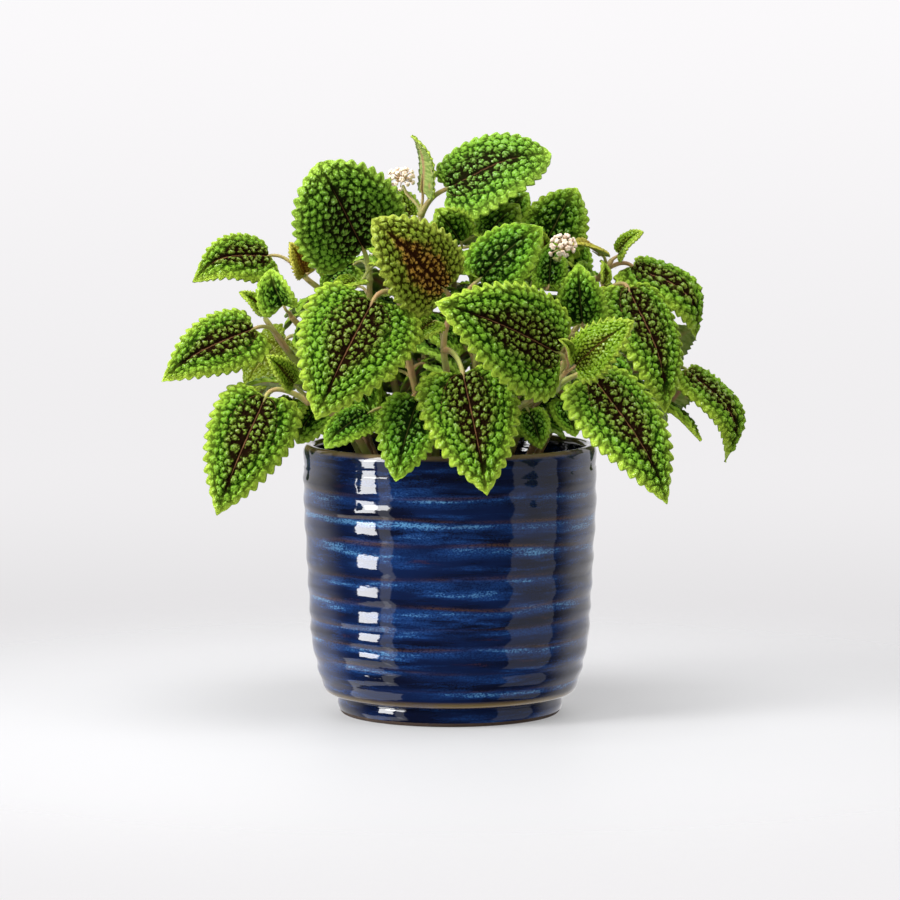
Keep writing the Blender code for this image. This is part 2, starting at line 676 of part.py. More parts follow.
def flower_stalk(path, centre, look):
    """The flower's stalk, from the stem's tip to just under the head."""
    start, heading = along(path, 1.0)
    end = centre - look * (HEAD_CORE + HEAD_GAP)
    reach = (end - start).length
    return interpolate_bezier(start, start + heading * reach * 0.4, end - look * reach * 0.4, end, 5)


def build_stem(name, stem, material, collection):
    """One stem with its stalks, blades and flower stalk, joined in one body."""
    count = len(stem.path)
    radii = [STEM_RADIUS + (STEM_TIP_RADIUS - STEM_RADIUS) * k / (count - 1) for k in range(count)]
    item = tube(name, stem.path, radii, 0, material, collection)
    others = []
    for node, leaf in stem.leaves:
        vertices, faces = leaf_solid(node, leaf)
        others.append(mesh_object("leaf", vertices, faces, material, collection))
    if stem.flower:
        path = flower_stalk(stem.path, *stem.flower)
        others.append(tube("flower_stalk", path, [FLOWER_STALK_RADIUS] * len(path), 0, material, collection))
    join_all(item, others, "UNION", collection)
    return item


def build_head(name, centre, look, material, collection):
    """A dense head: a small core with florets standing out of it all round but at its foot."""
    form = bmesh.new()
    bmesh.ops.create_icosphere(form, subdivisions=1, radius=HEAD_CORE * MM)
    mesh = bpy.data.meshes.new(name)
    form.to_mesh(mesh)
    form.free()
    mesh.materials.append(material)
    item = bpy.data.objects.new(name, mesh)
    collection.objects.link(item)
    item.matrix_world = Matrix.Translation(centre * MM) @ look.to_track_quat("Z", "Y").to_matrix().to_4x4()
    others = []
    for k in range(FLORETS):
        height = 1 - HEAD_SPAN * (k + 0.5) / FLORETS
        turn = k * math.pi * (3 - math.sqrt(5))
        ring = math.sqrt(1 - height * height)
        out = Vector((ring * math.cos(turn), ring * math.sin(turn), height))
        form = bmesh.new()
        bmesh.ops.create_cone(form, cap_ends=True, segments=4, radius1=0,
                              radius2=FLORET_RADIUS * MM, depth=(HEAD_RADIUS - 1) * MM)
        mesh = bpy.data.meshes.new("floret")
        bmesh.ops.triangulate(form, faces=form.faces[:])
        form.to_mesh(mesh)
        form.free()
        floret = bpy.data.objects.new("floret", mesh)
        collection.objects.link(floret)
        place = Matrix.Translation(out * (HEAD_RADIUS + 1) / 2 * MM)
        floret.matrix_world = item.matrix_world @ place @ out.to_track_quat("Z", "Y").to_matrix().to_4x4()
        others.append(floret)
    join_all(item, others, "UNION", collection)
    return item


def body_radius(height):
    """The pot's outer radius without its ribs."""
    radius = RIM_RADIUS - max(SHOULDER_TOP - height, 0) * TAPER
    if height < CORNER_TOP:
        share = (CORNER_TOP - height) / (CORNER_TOP - CORNER_BOTTOM)
        radius -= CORNER_DEPTH * share ** CORNER_POWER
    return radius


def pot_outside():
    """The outer profile, from the lip down to the foot's underside."""
    profile = list(LIP)
    for crest, below in zip(RIB_CRESTS, RIB_CRESTS[1:] + (CORNER_BOTTOM,)):
        trough = (crest + below) / 2
        profile.append((body_radius(crest) + RIB_HALF_DEPTH, crest))
        profile.append((body_radius(trough) - RIB_HALF_DEPTH, trough))
    return profile + list(LOWER_EDGE + FOOT)


def build_pot(collection):
    """The pot: turned ribs, a rounded lip, and a foot ring with a recess under it."""
    glaze = new_material("blue_glaze", (0.01, 0.03, 0.16), 0.12)
    return turned("pot", list(INSIDE) + pot_outside(), POT_STEPS, glaze, collection)


def build_soil(stems, collection):
    """The soil: it fills the pot to just under the lip, with a plain hole for each stem."""
    soil = new_material("dark_soil", (0.03, 0.02, 0.013), 0.95)
    inside = [(max(radius - SOIL_GAP, 0), height) for radius, height in INSIDE[:4]]
    profile = [(radius, height + (SOIL_GAP if k < 2 else 0)) for k, (radius, height) in enumerate(inside)]
    profile += [(profile[-1][0], SOIL_TOP), (0, SOIL_TOP)]
    item = turned("potting_soil", profile[::-1], POT_STEPS, soil, collection)
    holes = []
    for stem in stems:
        bpy.ops.mesh.primitive_cylinder_add(vertices=6, radius=(STEM_RADIUS + HOLE_GAP) * MM,
                                            depth=2 * (STEM_DEPTH + SOIL_GAP) * MM)
        hole = bpy.context.object
        hole.location = (stem.path[0].x * MM, stem.path[0].y * MM, SOIL_TOP * MM)
        for owner in hole.users_collection:
            owner.objects.unlink(hole)
        collection.objects.link(hole)
        holes.append(hole)
    join_all(item, holes, "DIFFERENCE", collection)
    return item


def main():
    clear_scene()
    collection = new_collection("potted_pilea")
    green = new_material("leaf_green", (0.07, 0.2, 0.03), 0.6)
    cream = new_material("flower_cream", (0.85, 0.78, 0.66), 0.7)
    stems = grow()
    build_pot(collection)
    build_soil(stems, collection)
    heads = 0
    for number, stem in enumerate(stems, start=1):
        build_stem(f"leafy_stem_{number:02d}", stem, green, collection)
        if stem.flower:
            heads += 1
            build_head(f"flower_head_{heads}", *stem.flower, cream, collection)


main()
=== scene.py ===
"""The looks of a potted quilted-leaf pilea: quilted leaves, hairy stems, flower heads, soil and a glazed pot.

Lengths are in millimetres, and MM turns them into Blender's metres where a mesh is made.
+Z is up, the front faces -Y, and the origin is the centre of the foot ring's underside.
"""

import math
import random
from collections import namedtuple

import bpy
import numpy as np
from mathutils import Matrix, Vector, noise
from mathutils.bvhtree import BVHTree
from mathutils.geometry import interpolate_bezier

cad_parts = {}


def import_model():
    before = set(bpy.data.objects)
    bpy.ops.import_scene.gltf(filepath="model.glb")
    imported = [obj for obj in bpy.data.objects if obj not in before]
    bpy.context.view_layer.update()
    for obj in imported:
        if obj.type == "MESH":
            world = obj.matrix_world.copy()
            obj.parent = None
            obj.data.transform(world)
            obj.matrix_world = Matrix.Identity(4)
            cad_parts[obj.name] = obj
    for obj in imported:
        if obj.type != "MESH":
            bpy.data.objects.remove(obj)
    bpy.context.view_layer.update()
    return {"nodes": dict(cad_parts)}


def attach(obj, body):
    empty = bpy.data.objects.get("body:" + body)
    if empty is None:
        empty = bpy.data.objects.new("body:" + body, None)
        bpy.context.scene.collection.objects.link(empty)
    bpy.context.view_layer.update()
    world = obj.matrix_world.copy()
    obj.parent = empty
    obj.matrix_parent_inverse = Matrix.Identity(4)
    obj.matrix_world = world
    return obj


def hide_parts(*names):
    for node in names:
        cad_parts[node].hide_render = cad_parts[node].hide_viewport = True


MM = 0.001
UP = Vector((0, 0, 1))

# The pot and the soil, as in the solids
POT_HEIGHT = 129.0
RIM_RADIUS = 70.0
TAPER = 1 / 19
SHOULDER_TOP = 100.0
CORNER_TOP = 38.0
CORNER_BOTTOM = 13.0
CORNER_DEPTH = 4.4
CORNER_POWER = 1.5
RIB_CRESTS = (113.0, 102.0, 90.0, 75.0, 61.5, 51.0, 41.0, 30.0, 20.5)
RIB_HALF_DEPTH = 0.45
WALL = 5.5
FLOOR_TOP = 14.0
INNER_RADIUS = RIM_RADIUS - WALL
SOIL_TOP = 113.5
STEM_DEPTH = 12.0
STEM_NECK = 2.0

# The pot's profile as (radius, height), from the inside's floor over the lip and down to the foot's underside
POT_INSIDE = (
    (50.0, FLOOR_TOP), (57.5, 24.0), (INNER_RADIUS, SHOULDER_TOP), (INNER_RADIUS, POT_HEIGHT - 3),
    (INNER_RADIUS + 0.3, POT_HEIGHT - 1.5), (INNER_RADIUS + 0.9, POT_HEIGHT - 0.7),
    (INNER_RADIUS + 1.8, POT_HEIGHT - 0.1),
)
POT_LIP = (
    (RIM_RADIUS - 2.6, POT_HEIGHT), (RIM_RADIUS - 1.4, POT_HEIGHT - 0.3),
    (RIM_RADIUS - 0.6, POT_HEIGHT - 1.2), (RIM_RADIUS, POT_HEIGHT - 2.5),
    (RIM_RADIUS + 0.2, POT_HEIGHT - 4), (RIM_RADIUS, POT_HEIGHT - 7), (RIM_RADIUS - 0.4, POT_HEIGHT - 10),
)
POT_LOWER_EDGE = ((60.2, 11.2), (58.9, 10.1), (57.2, 9.3), (55.0, 8.8))
POT_FOOT = (
    (53.1, 8.4), (53.5, 7.6), (53.8, 6.6), (54.0, 4.6), (53.7, 3.0), (53.3, 1.8), (52.6, 0.6), (52.0, 0.0),
    (46.0, 0.0), (44.5, 6.0),
)

# The leaves, stems and stalks, as in the solids
BLADE = 0.8
OUTLINE_BASE = 0.42
OUTLINE_TIP = 0.88
BASE_LOBE = 0.9
TOOTH = 0.13
ARCH_SKEW = 1.25
STEM_RADIUS = 2.1
STEM_TIP_RADIUS = 1.3
STALK_SHARE = 0.03
STALK_THINNEST = 0.75
STALK_THICKEST = 1.25
STALK_OUT = 0.3
STALK_LIFT = 0.15
STALK_BEND = 0.4
TEETH_BY_WIDTH = ((34, 8), (21, 6), (12, 4), (0, 3))
PATH_STEPS = 2
BLADE_ROOM = 2.8
WIDTH_ROOM = 1.05
STALK_ROOM = 0.9
NODE_ROOM = 4.5
FREE_START = 0.7
FREE_END = 0.9
LIP_ROOM = 2.5
SMALL_BLADE = 18.0
HEAD_RADIUS = 5.6
HEAD_CORE = 3.2
HEAD_GAP = 0.3
HEAD_ROOM = 1.5
FLOWER_STALK_RADIUS = 0.8
FLOWER_STALK_STEPS = 5

Leaf = namedtuple("Leaf", "base tip look width arch cup teeth spans tone droop")
Stem = namedtuple("Stem", "path leaves flower")
Taken = namedtuple("Taken", "stem kind tree")

# The front stems' ways, from the hole in the soil to the tip
FRONT_STEMS = (
    ((-6, 6, SOIL_TOP), (-11, 3, 160), (-15, -2, 205), (-14, -5, 238)),
    ((-17, -2, SOIL_TOP), (-27, -8, 160), (-37, -14, 192), (-38, -20, 213)),
    ((-9, -14, SOIL_TOP), (-15, -26, 150), (-21, -38, 180), (-24, -46, 202)),
    ((5, -18, SOIL_TOP), (1, -32, 150), (-3, -46, 179), (1, -46, 196)),
    ((-34, -18, SOIL_TOP), (-46, -30, 138), (-58, -38, 148), (-66, -42, 152)),
    ((-38, -6, SOIL_TOP), (-55, -12, 148), (-76, -22, 174), (-87, -24, 190)),
    ((-36, 8, SOIL_TOP), (-50, 4, 155), (-69, -16, 183), (-75, -22, 191)),
    ((-24, 22, SOIL_TOP), (-38, 14, 155), (-57, -2, 196), (-69, -8, 209)),
    ((16, -16, SOIL_TOP), (24, -28, 136), (34, -42, 151), (49, -59, 159)),
    ((24, -3, SOIL_TOP), (40, -8, 150), (58, -13, 182), (72, -14, 203)),
    ((26, 14, SOIL_TOP), (44, 12, 160), (62, 8, 194), (77, 4, 216)),
    ((38, 4, SOIL_TOP), (56, 8, 146), (84, 8, 162), (108, 2, 164)),
    ((11, -4, SOIL_TOP), (12, -18, 150), (12, -34, 185), (8, -42, 203)),
    ((12, 12, SOIL_TOP), (24, 12, 160), (37, 7, 198), (44, 4, 214)),
)

# The leaves that the front shows: stem, place up it, blade's base and tip, the way its upper face looks,
# width, arch of the midrib and fold of the halves
FRONT_LEAVES = (
    (1, 1.00, (-1, -14, 251), (48, -16, 268), (-0.1, -0.75, 0.65), 39, 0.10, -0.12),
    (1, 1.00, (-13, -7, 249), (-18, -19, 276), (0.95, -0.1, 0.2), 22, 0.10, 0.15),
    (1, 0.86, (6, -28, 229), (-5, -42, 245), (0.0, -0.9, 0.4), 22, 0.08, -0.1),
    (1, 0.86, (17, -14, 228), (33, -8, 243), (0.0, -0.6, 0.8), 26, 0.08, -0.1),
    (1, 0.93, (-19, 2, 238), (-30, 8, 252), (0.2, -0.7, 0.6), 20, 0.08, -0.1),
    (2, 0.95, (-41, -22, 223), (-61, -46, 264), (-0.1, -0.9, 0.35), 52, 0.08, -0.12),
    (2, 1.00, (-43, -29, 207), (-54, -37, 200), (-0.2, -0.4, 0.9), 16, 0.15, 0.3),
    (2, 1.00, (-33, -27, 215), (-22, -37, 208), (0.2, -0.4, 0.9), 16, 0.15, 0.3),
    (2, 0.80, (-46, 6, 214), (-62, 12, 200), (-0.3, -0.7, 0.6), 24, 0.12, -0.1),
    (3, 1.00, (-36, -66, 200), (-61, -100, 149), (-0.15, -0.85, 0.5), 51, 0.08, -0.12),
    (3, 0.45, (-15, -64, 155), (-25, -90, 120), (-0.05, -0.9, 0.35), 30, 0.10, -0.1),
    (3, 0.35, (-38, -44, 147), (-58, -60, 132), (-0.2, -0.7, 0.7), 24, 0.10, -0.1),
    (4, 0.80, (6, -68, 167), (17, -96, 114), (0.05, -0.95, 0.25), 46, 0.07, -0.1),
    (4, 0.80, (-8, -52, 190), (-19, -64, 180), (0.1, -0.7, 0.7), 16, 0.15, 0.2),
    (4, 1.00, (-4, -58, 205), (-39, -80, 236), (0.05, -0.8, 0.6), 37, 0.09, -0.1),
    (5, 1.00, (-86, -52, 155), (-108, -72, 102), (-0.3, -0.92, 0.25), 42, 0.08, -0.12),
    (5, 1.00, (-73, -58, 162), (-85, -68, 176), (0.1, -0.85, 0.4), 13, 0.08, 0.3),
    (5, 0.80, (-74, -26, 152), (-84, -36, 130), (-0.4, -0.8, 0.4), 20, 0.10, -0.1),
    (6, 0.80, (-92, -36, 186), (-135, -52, 163), (-0.25, -0.72, 0.65), 31, 0.10, -0.12),
    (6, 1.00, (-88, -24, 194), (-99, -30, 203), (-0.2, -0.75, 0.6), 10, 0.08, 0.3),
    (7, 0.78, (-78, -6, 179), (-97, -4, 154), (-0.5, -0.7, 0.5), 30, 0.12, -0.1),
    (7, 1.00, (-78, -34, 197), (-84, -34, 214), (-0.45, -0.85, 0.1), 19, 0.08, 0.5),
    (8, 1.00, (-86, -10, 219), (-124, -22, 208), (-0.1, -0.45, 0.9), 32, 0.17, -0.12),
    (8, 1.00, (-69, -12, 211), (-76, -18, 226), (0.2, -0.8, 0.4), 11, 0.08, 0.3),
    (8, 1.00, (-64, -6, 213), (-54, -4, 224), (0.0, -0.8, 0.5), 14, 0.08, 0.3),
    (9, 1.00, (50, -72, 177), (-7, -98, 202), (0.1, -0.72, 0.68), 47, 0.09, -0.12),
    (9, 1.00, (58, -77, 172), (84, -88, 193), (0.05, -0.85, 0.5), 23, 0.08, -0.1),
    (9, 1.00, (51, -80, 175), (45, -92, 185), (0.4, -0.75, 0.4), 9, 0.08, 0.5),
    (9, 0.95, (67, -62, 164), (101, -84, 109), (0.3, -0.82, 0.5), 41, 0.08, -0.12),
    (9, 0.40, (37, -37, 147), (43, -43, 130), (0.0, -0.8, 0.6), 17, 0.10, -0.1),
    (13, 0.45, (30, -44, 168), (37, -52, 152), (0.0, -0.8, 0.6), 17, 0.10, -0.1),
    (10, 0.35, (54, -29, 152), (59, -35, 135), (0.0, -0.8, 0.6), 17, 0.10, -0.1),
    (9, 0.80, (66, -40, 172), (86, -46, 158), (0.1, -0.8, 0.6), 24, 0.10, -0.1),
    (10, 0.95, (84, -18, 204), (102, -42, 147), (0.45, -0.75, 0.45), 38, 0.10, -0.12),
    (10, 0.75, (62, -38, 189), (60, -44, 217), (-0.15, -0.95, 0.2), 23, 0.08, -0.1),
    (11, 0.95, (87, 8, 215), (123, 4, 184), (0.25, -0.55, 0.8), 33, 0.17, -0.12),
    (11, 1.00, (81, 5, 219), (92, -1, 230), (0.0, -0.6, 0.8), 14, 0.10, 0.2),
    (11, 0.97, (72, 0, 219), (57, -12, 224), (0.1, -0.25, 0.95), 14, 0.10, 0.2),
    (12, 1.00, (113, -2, 164), (135, -10, 119), (0.75, -0.55, 0.4), 34, 0.15, -0.12),
    (12, 1.00, (113, 6, 158), (103, 12, 142), (0.3, 0.8, 0.4), 16, 0.10, -0.1),
    (13, 1.00, (14, -48, 210), (43, -42, 234), (-0.05, -0.8, 0.6), 30, 0.10, -0.12),
    (14, 1.00, (45, 12, 222), (61, 24, 250), (0.1, -0.75, 0.65), 32, 0.10, -0.12),
    (14, 0.93, (47, -8, 205), (49, -2, 226), (-0.1, -0.9, 0.4), 18, 0.08, -0.1),
)

# The flower heads: stem, middle of the head, and the way it looks
FLOWERS = (
    (1, (-23, 0, 255), (-0.15, -0.4, 0.9)),
    (14, (53, -24, 224), (0.1, -0.5, 0.85)),
)

# The back's stems, set out by rule: low and high ones take turns round the back of the pot,
# each way given as distances out from the middle and heights. The ring is wider than it is deep
BACK_STEMS = 7
BACK_FROM = 25.0
BACK_TO = 150.0
BACK_DEPTH = 0.72
LOW_WAY = ((39, SOIL_TOP), (54, 142), (78, 153), (98, 158))
HIGH_WAY = ((25, SOIL_TOP), (36, 165), (40, 198), (50, 222))

# The leaves set out by rule: pairs up each stem, each pair a quarter turn from the last
LOW_PAIRS = (0.95, 0.7, 0.46)
HIGH_PAIRS = (0.95, 0.68)
FRONT_PAIRS = (0.6,)
SPROUTING_STEMS = (3, 4, 10, 13, 14, 16, 18, 20)
PAIR_JITTER = 0.3
LONGEST_BLADE = 62.0
SHORTEST_BLADE = 36.0
LENGTH_SPREAD = (0.85, 1.1)
BLADE_SHAPE = 0.7
SHAPE_SPREAD = (0.9, 1.08)
LONGEST_STALK = 20.0
SHORTEST_STALK = 10.4
STALK_SPREAD = (0.8, 1.2)
DROOP_SPREAD = (-0.6, 0.1)
ARCH_SPREAD = (0.07, 0.13)
FOLD = -0.1
SPROUT_LENGTH = 13.0
SPROUT_SPREAD = (0.85, 1.2)
SPROUT_FOLD = 0.45
SWINGS = (0, -20, 20, -40, 40)
LIFTS = (0, 20, -20, 40)
SHRINKS = (1.0, 0.82, 0.66)
NUDGES = ((0, 0), (0, 4), (0, -4), (4, 0), (-4, 0), (4, 4), (-4, -4), (0, 8), (0, -8), (8, 0), (-8, 0))
FRONT_LIMIT = -52.0
FRONT_LEAN = 0.35
SEED = 41

# The finer form of the leaves that the front shows, in the order of FRONT_LEAVES: tone, width and arch
# as shares of the solid's, how far the tip droops as a share of the length, and a turn in degrees.
# A tone alone keeps the solid's form
FRONT_LOOKS = (
    ("deep", 1.14, 1.0, 0.04, 0), ("lime", 1.0, 1.0, 0.0, 22), ("green", 1.1, 1.0, 0.0, 0), ("green",),
    ("lime",), ("deep", 1.04, 1.0, 0.0, 0), ("lime", 1.0, 1.0, 0.1, 0), ("lime", 1.0, 1.0, 0.1, 0),
    ("green",), ("zoned", 1.08, 1.0, 0.02, -12), ("dark", 1.05, 1.0, 0.05, 0), ("dark",),
    ("zoned", 1.02, 1.0, 0.02, 0), ("lime", 1.0, 1.0, 0.05, 0), ("bronze", 1.08, 1.0, 0.0, -32),
    ("zoned", 0.98, 1.0, 0.03, -14), ("lime",), ("green",), ("zoned", 1.08, 1.2, 0.05, -18), ("lime",),
    ("olive", 1.1, 1.0, 0.0, 0), ("green", 1.1, 1.0, 0.0, 0), ("zoned", 0.9, 1.4, 0.12, -30),
    ("amber", 1.2, 1.0, 0.0, 0), ("lime",), ("zoned", 1.1, 1.0, 0.0, -24), ("lime", 1.1, 1.0, 0.0, 0),
    ("lime",), ("zoned", 1.04, 1.0, 0.04, 0), ("dark",), ("dark",), ("dark",), ("dark",),
    ("zoned", 1.04, 1.0, 0.04, 0), ("dark", 1.05, 1.0, 0.0, 0), ("zoned", 1.06, 1.6, 0.04, 4), ("lime",),
    ("amber",), ("zoned", 0.84, 1.6, 0.1, 8), ("lime",), ("dark", 1.15, 1.0, 0.0, 0),
    ("green", 1.05, 1.0, 0.0, 0), ("dark",),
)
SOLID_FORM = (1.0, 1.0, 0.0, 0)

# Small leaves that the solids leave out: stem, place up it, blade's base and tip, the way its face looks,
# width and tone
SMALL_LEAVES = (
    (14, 0.95, (56, 12, 208), (66, 14, 226), (0.1, -0.8, 0.5), 22, "dark"),
    (5, 0.60, (-62, -24, 148), (-72, -26, 129), (-0.4, -0.8, 0.4), 24, "green"),
    (1, 0.80, (24, 6, 236), (38, 12, 248), (0.0, -0.8, 0.5), 20, "dark"),
)
SMALL_ARCH = 0.1
SMALL_FOLD = -0.1
SMALL_DROOP = 0.03

# The tones that the leaves set out by rule take in turn, and how far their tips droop
RULE_TONES = ("zoned", "deep", "green", "zoned", "green", "deep", "dark")
RULE_DROOP = 0.04

# The blades' grids: the spacing of their points on the front's leaves, the back's and the small ones, the
# fewest rows and columns, and how the rows crowd to both ends
FRONT_STEP = 0.6
BACK_STEP = 1.05
FILL_STEP = 1.3
FINEST_STEP = 0.5
COLUMN_GROUP = 6
FRONT_COLUMNS = 34
BACK_COLUMNS = 15
FEWEST_ROWS = 16
ROW_SHORTNESS = 1.2
ROW_CROWDING = 1.55

# The blade's underside follows the face's height by a share, on every third column of the grid
UNDER_SHARE = 0.6
UNDER_STEP = 3

# The blades' outlines: how slim each tone's tip is, and the teeth, round unless the tone has its own
TIP_POWERS = {
    "zoned": 0.98, "deep": 0.68, "green": 0.88, "dark": 0.85, "bronze": 0.8, "lime": 0.85, "olive": 0.8,
    "amber": 0.85,
}
OUTLINE_STEPS = 700
TOOTH_PITCH = 5.8
TOOTH_SHARE = 0.145
TOOTH_DEPTH = 2.8
TOOTH_LEAN = 1.1
TOOTH_SKEW = 1.35
TOOTH_POWERS = {"lime": 1.0, "amber": 1.0}
ROUND_TOOTH = 2.0

# The quilting: rows of bumps run from the midrib out to the teeth, with fine folds in the bumps.
# Young tones have a net of veins in their place
ROW_SLANT = 0.24
ROW_START = 0.3
ROW_SHARE = 0.7
BUMP_PITCH = 3.3
FINE_PITCH = 2.5
BUMP_JITTER = 0.3
BUMP_TALLNESS = (0.8, 1.12)
BUMP_ROOM = 0.62
FOLD_PITCH = 0.5
CELL_POWER = 3.0
FOLD_POWER = 1.8
POINTS_AT_ONCE = 1500
WAVER = 0.42
WAVER_LENGTHS = (2.3, 3.7)
BUMP_HEIGHT = 1.3
FOLD_HEIGHT = 1.25
ROW_DEPTH = 0.4
NET_PITCH = 1.9
FOLD_SCALE = 720
PILLOW = 0.3
RIM_DROP = 0.15
YOUNG_TONES = ("lime", "olive", "amber")
LATERAL_START = 0.38
LATERAL_RISE = 0.6
MIDRIB_WIDTH = 0.27
SIDE_VEIN_WIDTH = 0.32
SIDE_VEIN_SHARE = 0.7

# The leaves that fill the bush behind the solids' leaves, and the middle and half sizes of the space for them
FILL_PLACES = (0.88, 0.74, 0.52, 0.36, 0.24, 0.82, 0.64)
FILL_SIZES = (0.4, 0.72)
FILL_TONES = ("green", "dark", "deep")
FILL_MIDDLE = (4.0, 176.0)
FILL_SPACE = (86.0, 72.0)

# The fine pot: steps round it, the height of a step, how far its ribs waver, their depth as a share of the
# solid's and how unevenly they swell, the lip's crest and its band, and where the bare clay starts
POT_STEPS = 220
RIB_STEP = 0.85
RIB_WAVER = 3.0
RIB_SHARE = 0.62
RIB_SWELL = 1.2
LIP_CREST = 125.0
LIP_BAND = 1.8
UNGLAZED_TOP = 2.4

# The fine stems and stalks: points along them and round them, and where the stalk's end runs under the midrib
FINE_STEPS = 6
STALK_STEPS = 14
STEM_SIDES = 12
STALK_SIDES = 10
KEEL_PLACES = (0.05, 0.12, 0.2, 0.3)

# The hairs and florets
HAIR_LENGTHS = (0.5, 1.4)
HAIR_LEANS = (-0.3, 0.5)
HAIR_RADIUS = 0.05
STALK_HAIRS = 3.0
STEM_HAIRS = 3.0
FLORET_SIDES = 6
FLORET_STALK_RADII = (0.3, 0.26, 0.34)
PETAL_RADII = (0.35, 0.8, 0.6)
FINE_FLORETS = 26
FINE_SPAN = 1.5
FLORET_REACH = (0.78, 1.1)
PETALS = 5
PETAL_OPENING = (0.45, 1.0)

# The soil's crumbs
CRUMBS = 380
CRUMB_REACH = 62.0
CRUMB_SIZES = (0.7, 2.2)
CRUMB_SIDES = 7
CRUMB_RINGS = 4
CRUMB_SQUASH = (0.6, 0.95)
CRUMB_ROUGHNESS = (0.75, 1.15)
PERLITE_SHARE = 0.06

# A stem's materials in order: the tones of the blades first, then the underside, the skin and the hairs
TONES = ("zoned", "deep", "green", "dark", "bronze", "lime", "olive", "amber")
UNDERSIDE = 8
STALK = 9
HAIR = 10

# Each tone's colours on screen: ground and bumps in the middle, the same outside it, the edge and the veins.
# The ground, in the creases between the bumps, is dark as painted shade, and in the middle partly the blade's
# own brown; the edge is partly painted glow
LEAF_COLOURS = {
    "zoned": ((26, 15, 8), (118, 146, 50), (24, 50, 8), (112, 158, 46), (170, 198, 70), (128, 92, 66)),
    "deep": ((24, 24, 10), (112, 158, 62), (28, 52, 12), (118, 166, 56), (162, 198, 76), (92, 64, 46)),
    "green": ((18, 38, 8), (102, 154, 44), (24, 52, 9), (108, 154, 46), (160, 192, 68), (84, 84, 44)),
    "dark": ((16, 32, 7), (94, 146, 44), (20, 48, 8), (102, 156, 44), (150, 186, 62), (62, 64, 32)),
    "bronze": ((48, 25, 11), (186, 142, 62), (48, 46, 10), (138, 160, 54), (168, 184, 74), (58, 30, 22)),
    "lime": ((40, 42, 9), (120, 146, 38), (46, 70, 10), (118, 152, 38), (168, 190, 72), (84, 62, 30)),
    "olive": ((74, 80, 18), (116, 132, 38), (80, 92, 22), (124, 146, 42), (150, 170, 60), (150, 152, 84)),
    "amber": ((90, 56, 18), (150, 118, 40), (100, 84, 22), (156, 148, 50), (188, 184, 84), (110, 70, 40)),
}

# The brown that flecks the middle's bumps, and the pale green of the painted glint on the highest bumps, on
# screen. As light, the two ends of a blade's warm and cool mottling, and the shade that darkens each blade by
# its own share
BROWN = (120, 84, 44)
PAINTED_GLINT = (172, 204, 120)
WARMTHS = ((1.0, 0.94, 0.75), (0.92, 1.0, 0.9))
SHADE = (0.62, 0.58, 0.45)

# The plain materials' colours on screen, each from one end of its mottling to the other
HAIR_COLOURS = ((214, 214, 176), (190, 178, 140))
PETAL_COLOURS = ((248, 234, 214), (238, 206, 182))
FLORET_STALK_COLOURS = ((196, 160, 128), (150, 132, 84))
CLAY_COLOURS = ((84, 62, 46), (44, 34, 30))
SOIL_COLOURS = ((30, 22, 16), (58, 42, 30))
CRUMB_COLOURS = ((26, 18, 13), (74, 52, 36))
PERLITE_COLOURS = ((150, 146, 138), (196, 192, 184))

# The studio, in metres: the floor, the backdrop, the lights as name, power, size, place and the rays that
# meet them, and the camera
FLOOR_COLOUR = (160, 160, 162)
FLOOR_GLOW = 0.3
FLOOR_FADE = (0.12, 0.5)
FLOOR_SIDES = 96
WORLD_SPAN = (0.0, 0.6)
WORLD_LIGHT = (0.04, 1.0)
BACKDROP_SPAN = (-0.22, 0.03)
BACKDROP_GRADE = ((0.0, 0.9), (0.18, 0.88), (0.32, 0.77), (0.5, 0.87), (1.0, 0.97))
BACKDROP_WARMTH = 0.985
LIGHTS = (
    ("left_key", 21.0, (0.5, 0.9), (-1.0, -0.6, 0.75), "all"),
    ("top_key", 17.0, (0.9, 0.9), (0.1, -0.35, 1.3), "all"),
    ("right_fill", 3.0, (0.9, 0.9), (1.15, -0.45, 0.55), "diffuse"),
    ("front_fill", 14.5, (1.6, 1.0), (-0.4, -1.8, 0.1), "diffuse"),
    ("left_card", 13.0, (0.38, 0.66), (-1.11, -0.45, 0.22), "glossy"),
    ("left_strip", 1.0, (0.22, 1.3), (-0.93, -0.74, 0.0), "glossy"),
    ("left_low_card", 2.0, (1.1, 0.4), (-1.0, -0.2, -0.62), "glossy"),
    ("right_card", 2.4, (0.9, 1.6), (1.1, -0.4, -0.05), "glossy"),
)
LIGHT_TARGET = (0.0, 0.0, 0.1)
CAMERA_LENS = 170.0
CAMERA_SENSOR = 36.0
CAMERA_PLACE = (0.0, -2.024, 0.315)
CAMERA_PITCH = 5.345


def smooth_path(points, steps):
    """A smooth way through the points, in so many steps from each to the next."""
    first = points[0] * 2 - points[1]
    last = points[-1] * 2 - points[-2]
    knots = [first, *points, last]
    path = []
    for a, b, c, d in zip(knots, knots[1:], knots[2:], knots[3:]):
        for step in range(steps):
            t = step / steps
            bend = (a * 2 - b * 5 + c * 4 - d) * t * t + (b * 3 - c * 3 + d - a) * t ** 3
            path.append((b * 2 + (c - a) * t + bend) / 2)
    path.append(points[-1])
    return path


def along(path, place):
    """The point and the heading at a share of the path's length."""
    lengths = [(b - a).length for a, b in zip(path, path[1:])]
    left = place * sum(lengths)
    for a, b, length in zip(path, path[1:], lengths):
        if left <= length or b is path[-1]:
            return a.lerp(b, min(left / length, 1)), (b - a).normalized()
        left -= length


def midrib(leaf, u):
    """The midrib's point at u, from the base at 0 to the tip at 1, with its heading, face and side."""
    chord = leaf.tip - leaf.base
    look = (leaf.look - leaf.look.project(chord)).normalized()
    turn = math.pi * max(u, 0.001) ** ARCH_SKEW
    height = leaf.arch * chord.length
    point = leaf.base + chord * u + look * height * math.sin(turn)
    slope = height * math.cos(turn) * turn * ARCH_SKEW / max(u, 0.001)
    heading = (chord + look * slope).normalized()
    face = (look - look.project(heading)).normalized()
    return point, heading, face, heading.cross(face)


